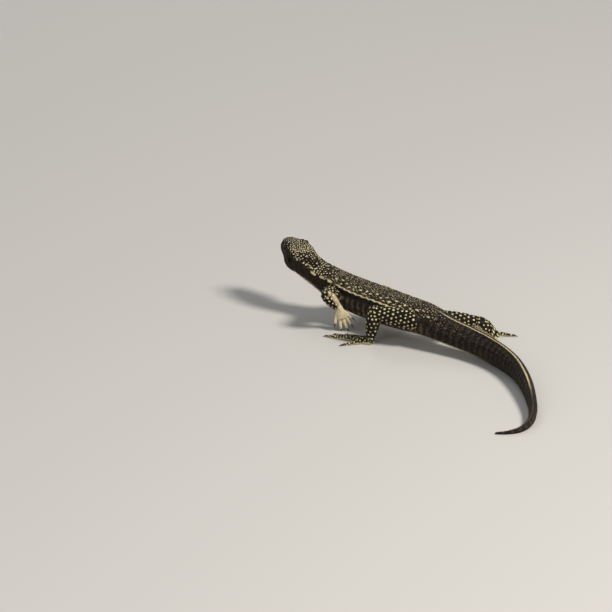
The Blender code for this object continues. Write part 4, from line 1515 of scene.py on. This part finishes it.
def stretched(tree, value, low, high, to_low=0.0, to_high=1.0):
    """A value carried from one range to another."""
    ends = {"From Min": low, "From Max": high, "To Min": to_low, "To Max": to_high}
    node = add_node(tree, "ShaderNodeMapRange", **ends)
    feed(tree, node.inputs["Value"], value)
    return node.outputs["Result"]


def object_places(tree):
    return tree.nodes.new("ShaderNodeTexCoord").outputs["Object"]


def add_bump(tree, shader, height, strength, distance):
    """Fine relief on a shader, from a height, with its distance in millimetres."""
    node = add_node(tree, "ShaderNodeBump", Strength=strength, Distance=distance * MM)
    feed(tree, node.inputs["Height"], height)
    feed(tree, shader.inputs["Normal"], node.outputs["Normal"])


def build_marks_group():
    """A group that turns the markings kept on a surface into colour, gloss and fine relief."""
    group = bpy.data.node_groups.new("monitor_markings", "ShaderNodeTree")
    for way, word, kind in (
        ("INPUT", "Place", "Vector"),
        ("INPUT", "Marks", "Color"),
        ("INPUT", "Underside", "Float"),
        ("INPUT", "Depth", "Float"),
        ("OUTPUT", "Colour", "Color"),
        ("OUTPUT", "Roughness", "Float"),
        ("OUTPUT", "Relief", "Float"),
    ):
        socket = group.interface.new_socket(name=word, in_out=way, socket_type=f"NodeSocket{kind}")
        if word == "Depth":
            socket.default_value = 1.0
    start, end = group.nodes.new("NodeGroupInput"), group.nodes.new("NodeGroupOutput")
    parts = group.nodes.new("ShaderNodeSeparateColor")
    feed(group, parts.inputs[0], start.outputs["Marks"])
    light, warm, ground = parts.outputs
    place = start.outputs["Place"]
    broad, fine = noise(group, place, 70, 4), noise(group, place, 900, 3)
    dark = mix_colours(group, ground, BLACK_GROUND, BROWN_GROUND)
    dark = mix_colours(group, stretched(group, broad, 0.4, 0.75, 0.0, 0.45), dark, GREY_GROUND)
    pale = mix_colours(group, warm, CREAM, YELLOW)
    pale = mix_colours(group, stretched(group, light, 0.1, 0.6), TAN, pale)
    pale = mix_colours(group, start.outputs["Underside"], pale, UNDERSIDE)
    pale = mix_colours(group, stretched(group, broad, 0.35, 0.7, 0.0, 0.22), pale, OCHRE)
    shade = product(group, stretched(group, fine, 0.3, 0.7, 0.82, 1.12), start.outputs["Depth"])
    grey = group.nodes.new("ShaderNodeCombineXYZ")
    for socket in grey.inputs:
        feed(group, socket, shade)
    colour = mix_colours(group, 1.0, mix_colours(group, light, dark, pale), grey.outputs[0], "MULTIPLY")
    feed(group, end.inputs["Colour"], colour)
    feed(group, end.inputs["Roughness"], stretched(group, fine, 0.3, 0.7, 0.36, 0.54))
    feed(group, end.inputs["Relief"], noise(group, place, 2600, 2))
    return group


def new_material(name, **values):
    material = bpy.data.materials.new(name)
    material.use_nodes = True
    shader = material.node_tree.nodes["Principled BSDF"]
    for key, value in values.items():
        shader.inputs[key.replace("_", " ")].default_value = value
    return material, material.node_tree, shader


def skin_material(name, group, depth, relief):
    """Dry scaly skin, coloured by the markings on its own surface."""
    material, tree, shader = new_material(name, Specular_IOR_Level=0.13)
    node = add_node(tree, "ShaderNodeGroup", node_tree=group)
    marks = add_node(tree, "ShaderNodeAttribute", attribute_name="marks")
    feed(tree, node.inputs["Depth"], depth)
    feed(tree, node.inputs["Place"], object_places(tree))
    feed(tree, node.inputs["Marks"], marks.outputs["Color"])
    feed(tree, node.inputs["Underside"], marks.outputs["Alpha"])
    feed(tree, shader.inputs["Base Color"], node.outputs["Colour"])
    feed(tree, shader.inputs["Roughness"], node.outputs["Roughness"])
    add_bump(tree, shader, node.outputs["Relief"], 0.5, relief)
    return material


def claw_material():
    """Smooth dark horn, faintly streaked."""
    material, tree, shader = new_material("dark_horn", Roughness=0.3, Coat_Weight=0.25, Coat_Roughness=0.2)
    streaks = noise(tree, object_places(tree), 420, 4, 0.6)
    mixed = stretched(tree, streaks, 0.35, 0.7)
    colour = mix_colours(tree, mixed, (0.016, 0.012, 0.010, 1), (0.065, 0.046, 0.032, 1))
    feed(tree, shader.inputs["Base Color"], colour)
    add_bump(tree, shader, streaks, 0.3, 0.08)
    return material


def eye_material():
    """A dark brown eye: black round pupil, a thin gold ring, a streaked brown iris and a dark rim."""
    material, tree, shader = new_material("wet_eye", Roughness=0.07, Specular_IOR_Level=0.35)
    lean = add_node(tree, "ShaderNodeAttribute", attribute_name="lean").outputs["Fac"]
    streaks = noise(tree, object_places(tree), 900, 4, 0.7)
    mixed = stretched(tree, streaks, 0.35, 0.65)
    colour = mix_colours(tree, mixed, (0.008, 0.005, 0.003, 1), (0.040, 0.021, 0.008, 1))
    ring = product(tree, stretched(tree, lean, 16.5, 18.0), stretched(tree, lean, 22.5, 19.5))
    colour = mix_colours(tree, ring, colour, (0.16, 0.085, 0.02, 1))
    colour = mix_colours(tree, stretched(tree, lean, 15.0, 17.0), (0.002, 0.002, 0.002, 1), colour)
    colour = mix_colours(tree, stretched(tree, lean, 34.0, 42.0), colour, (0.008, 0.006, 0.005, 1))
    feed(tree, shader.inputs["Base Color"], colour)
    return material


def build_stage():
    """A pale floor and soft studio light."""
    shape = bmesh.new()
    bmesh.ops.create_grid(shape, x_segments=1, y_segments=1, size=FLOOR_SIZE)
    floor = add_piece("floor", mesh_from("floor", shape))
    material, _, _ = new_material("pale_floor", Base_Color=(0.58, 0.565, 0.54, 1), Roughness=0.9)
    floor.data.materials.append(material)
    for name, place, size, power, colour in LIGHTS:
        lamp = bpy.data.lights.new(name, "AREA")
        lamp.shape = "DISK"
        lamp.size = size
        lamp.energy = power
        lamp.color = colour
        holder = add_piece(name, lamp)
        holder.location = Vector(place)
        holder.rotation_euler = (LAMP_TARGET - Vector(place)).to_track_quat("-Z", "Y").to_euler()
    world = bpy.data.worlds.new("studio")
    bpy.context.scene.world = world
    world.use_nodes = True
    sky = world.node_tree.nodes["Background"].inputs
    sky["Color"].default_value = (0.92, 0.95, 1.0, 1)
    sky["Strength"].default_value = 0.24


def build_camera():
    """A camera at the photo's angle, with the hips where the photo has them."""
    azimuth, elevation = math.radians(CAMERA_AZIMUTH), math.radians(CAMERA_ELEVATION)
    right = Vector((math.cos(azimuth), math.sin(azimuth), 0))
    away = Vector((-math.sin(azimuth), math.cos(azimuth), 0))
    up = Vector((0, 0, math.cos(elevation))) + away * math.sin(elevation)
    look = away * math.cos(elevation) - Vector((0, 0, math.sin(elevation)))
    target = Vector(HIP_PLACE) - right * HIP_IN_VIEW[0] - up * HIP_IN_VIEW[1]
    lens = bpy.data.cameras.new("camera")
    lens.sensor_fit = "HORIZONTAL"
    lens.angle = 2 * math.atan(VIEW_WIDTH / 2 / CAMERA_DISTANCE)
    lens.clip_end = 100
    holder = add_piece("camera", lens)
    turn = Matrix((right, up, -look)).transposed().to_4x4()
    holder.matrix_world = Matrix.Translation(target - look * CAMERA_DISTANCE) @ turn
    bpy.context.scene.camera = holder


build_body_axes()
build_leg_axes()
skin = build_skin()
layout = lay_out_strips()
skin_points, _, skin_triangles = arrays_of(skin.data)
unwrap_skin(skin.data, skin_points, skin_triangles, layout)
scales, scale_places, dots = build_coat(skin, layout)
mark_surface(skin.data, scale_places=scale_places, dots=dots)
lids = build_lids()
eyes = [build_eye(1, "left"), build_eye(-1, "right")]
claws = [build_claws(name) for name in LEGS]

marks_group = build_marks_group()
bare_skin = skin_material("skin_between_scales", marks_group, 0.55, 0.12)
scale_skin = skin_material("scale_surface", marks_group, 1.0, 0.06)
for pieces, material, slot in (
    ([skin, lids], bare_skin, "scaly_skin"),
    (scales, scale_skin, "scaly_skin"),
    (claws, claw_material(), "claw"),
    (eyes, eye_material(), "eye"),
):
    for piece in pieces:
        piece.data.materials.append(material)
        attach(piece, "root")
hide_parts(*FLESH)
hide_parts("eye_left")
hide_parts("eye_right")

build_stage()
build_camera()
bpy.context.scene.view_settings.view_transform = "Standard"
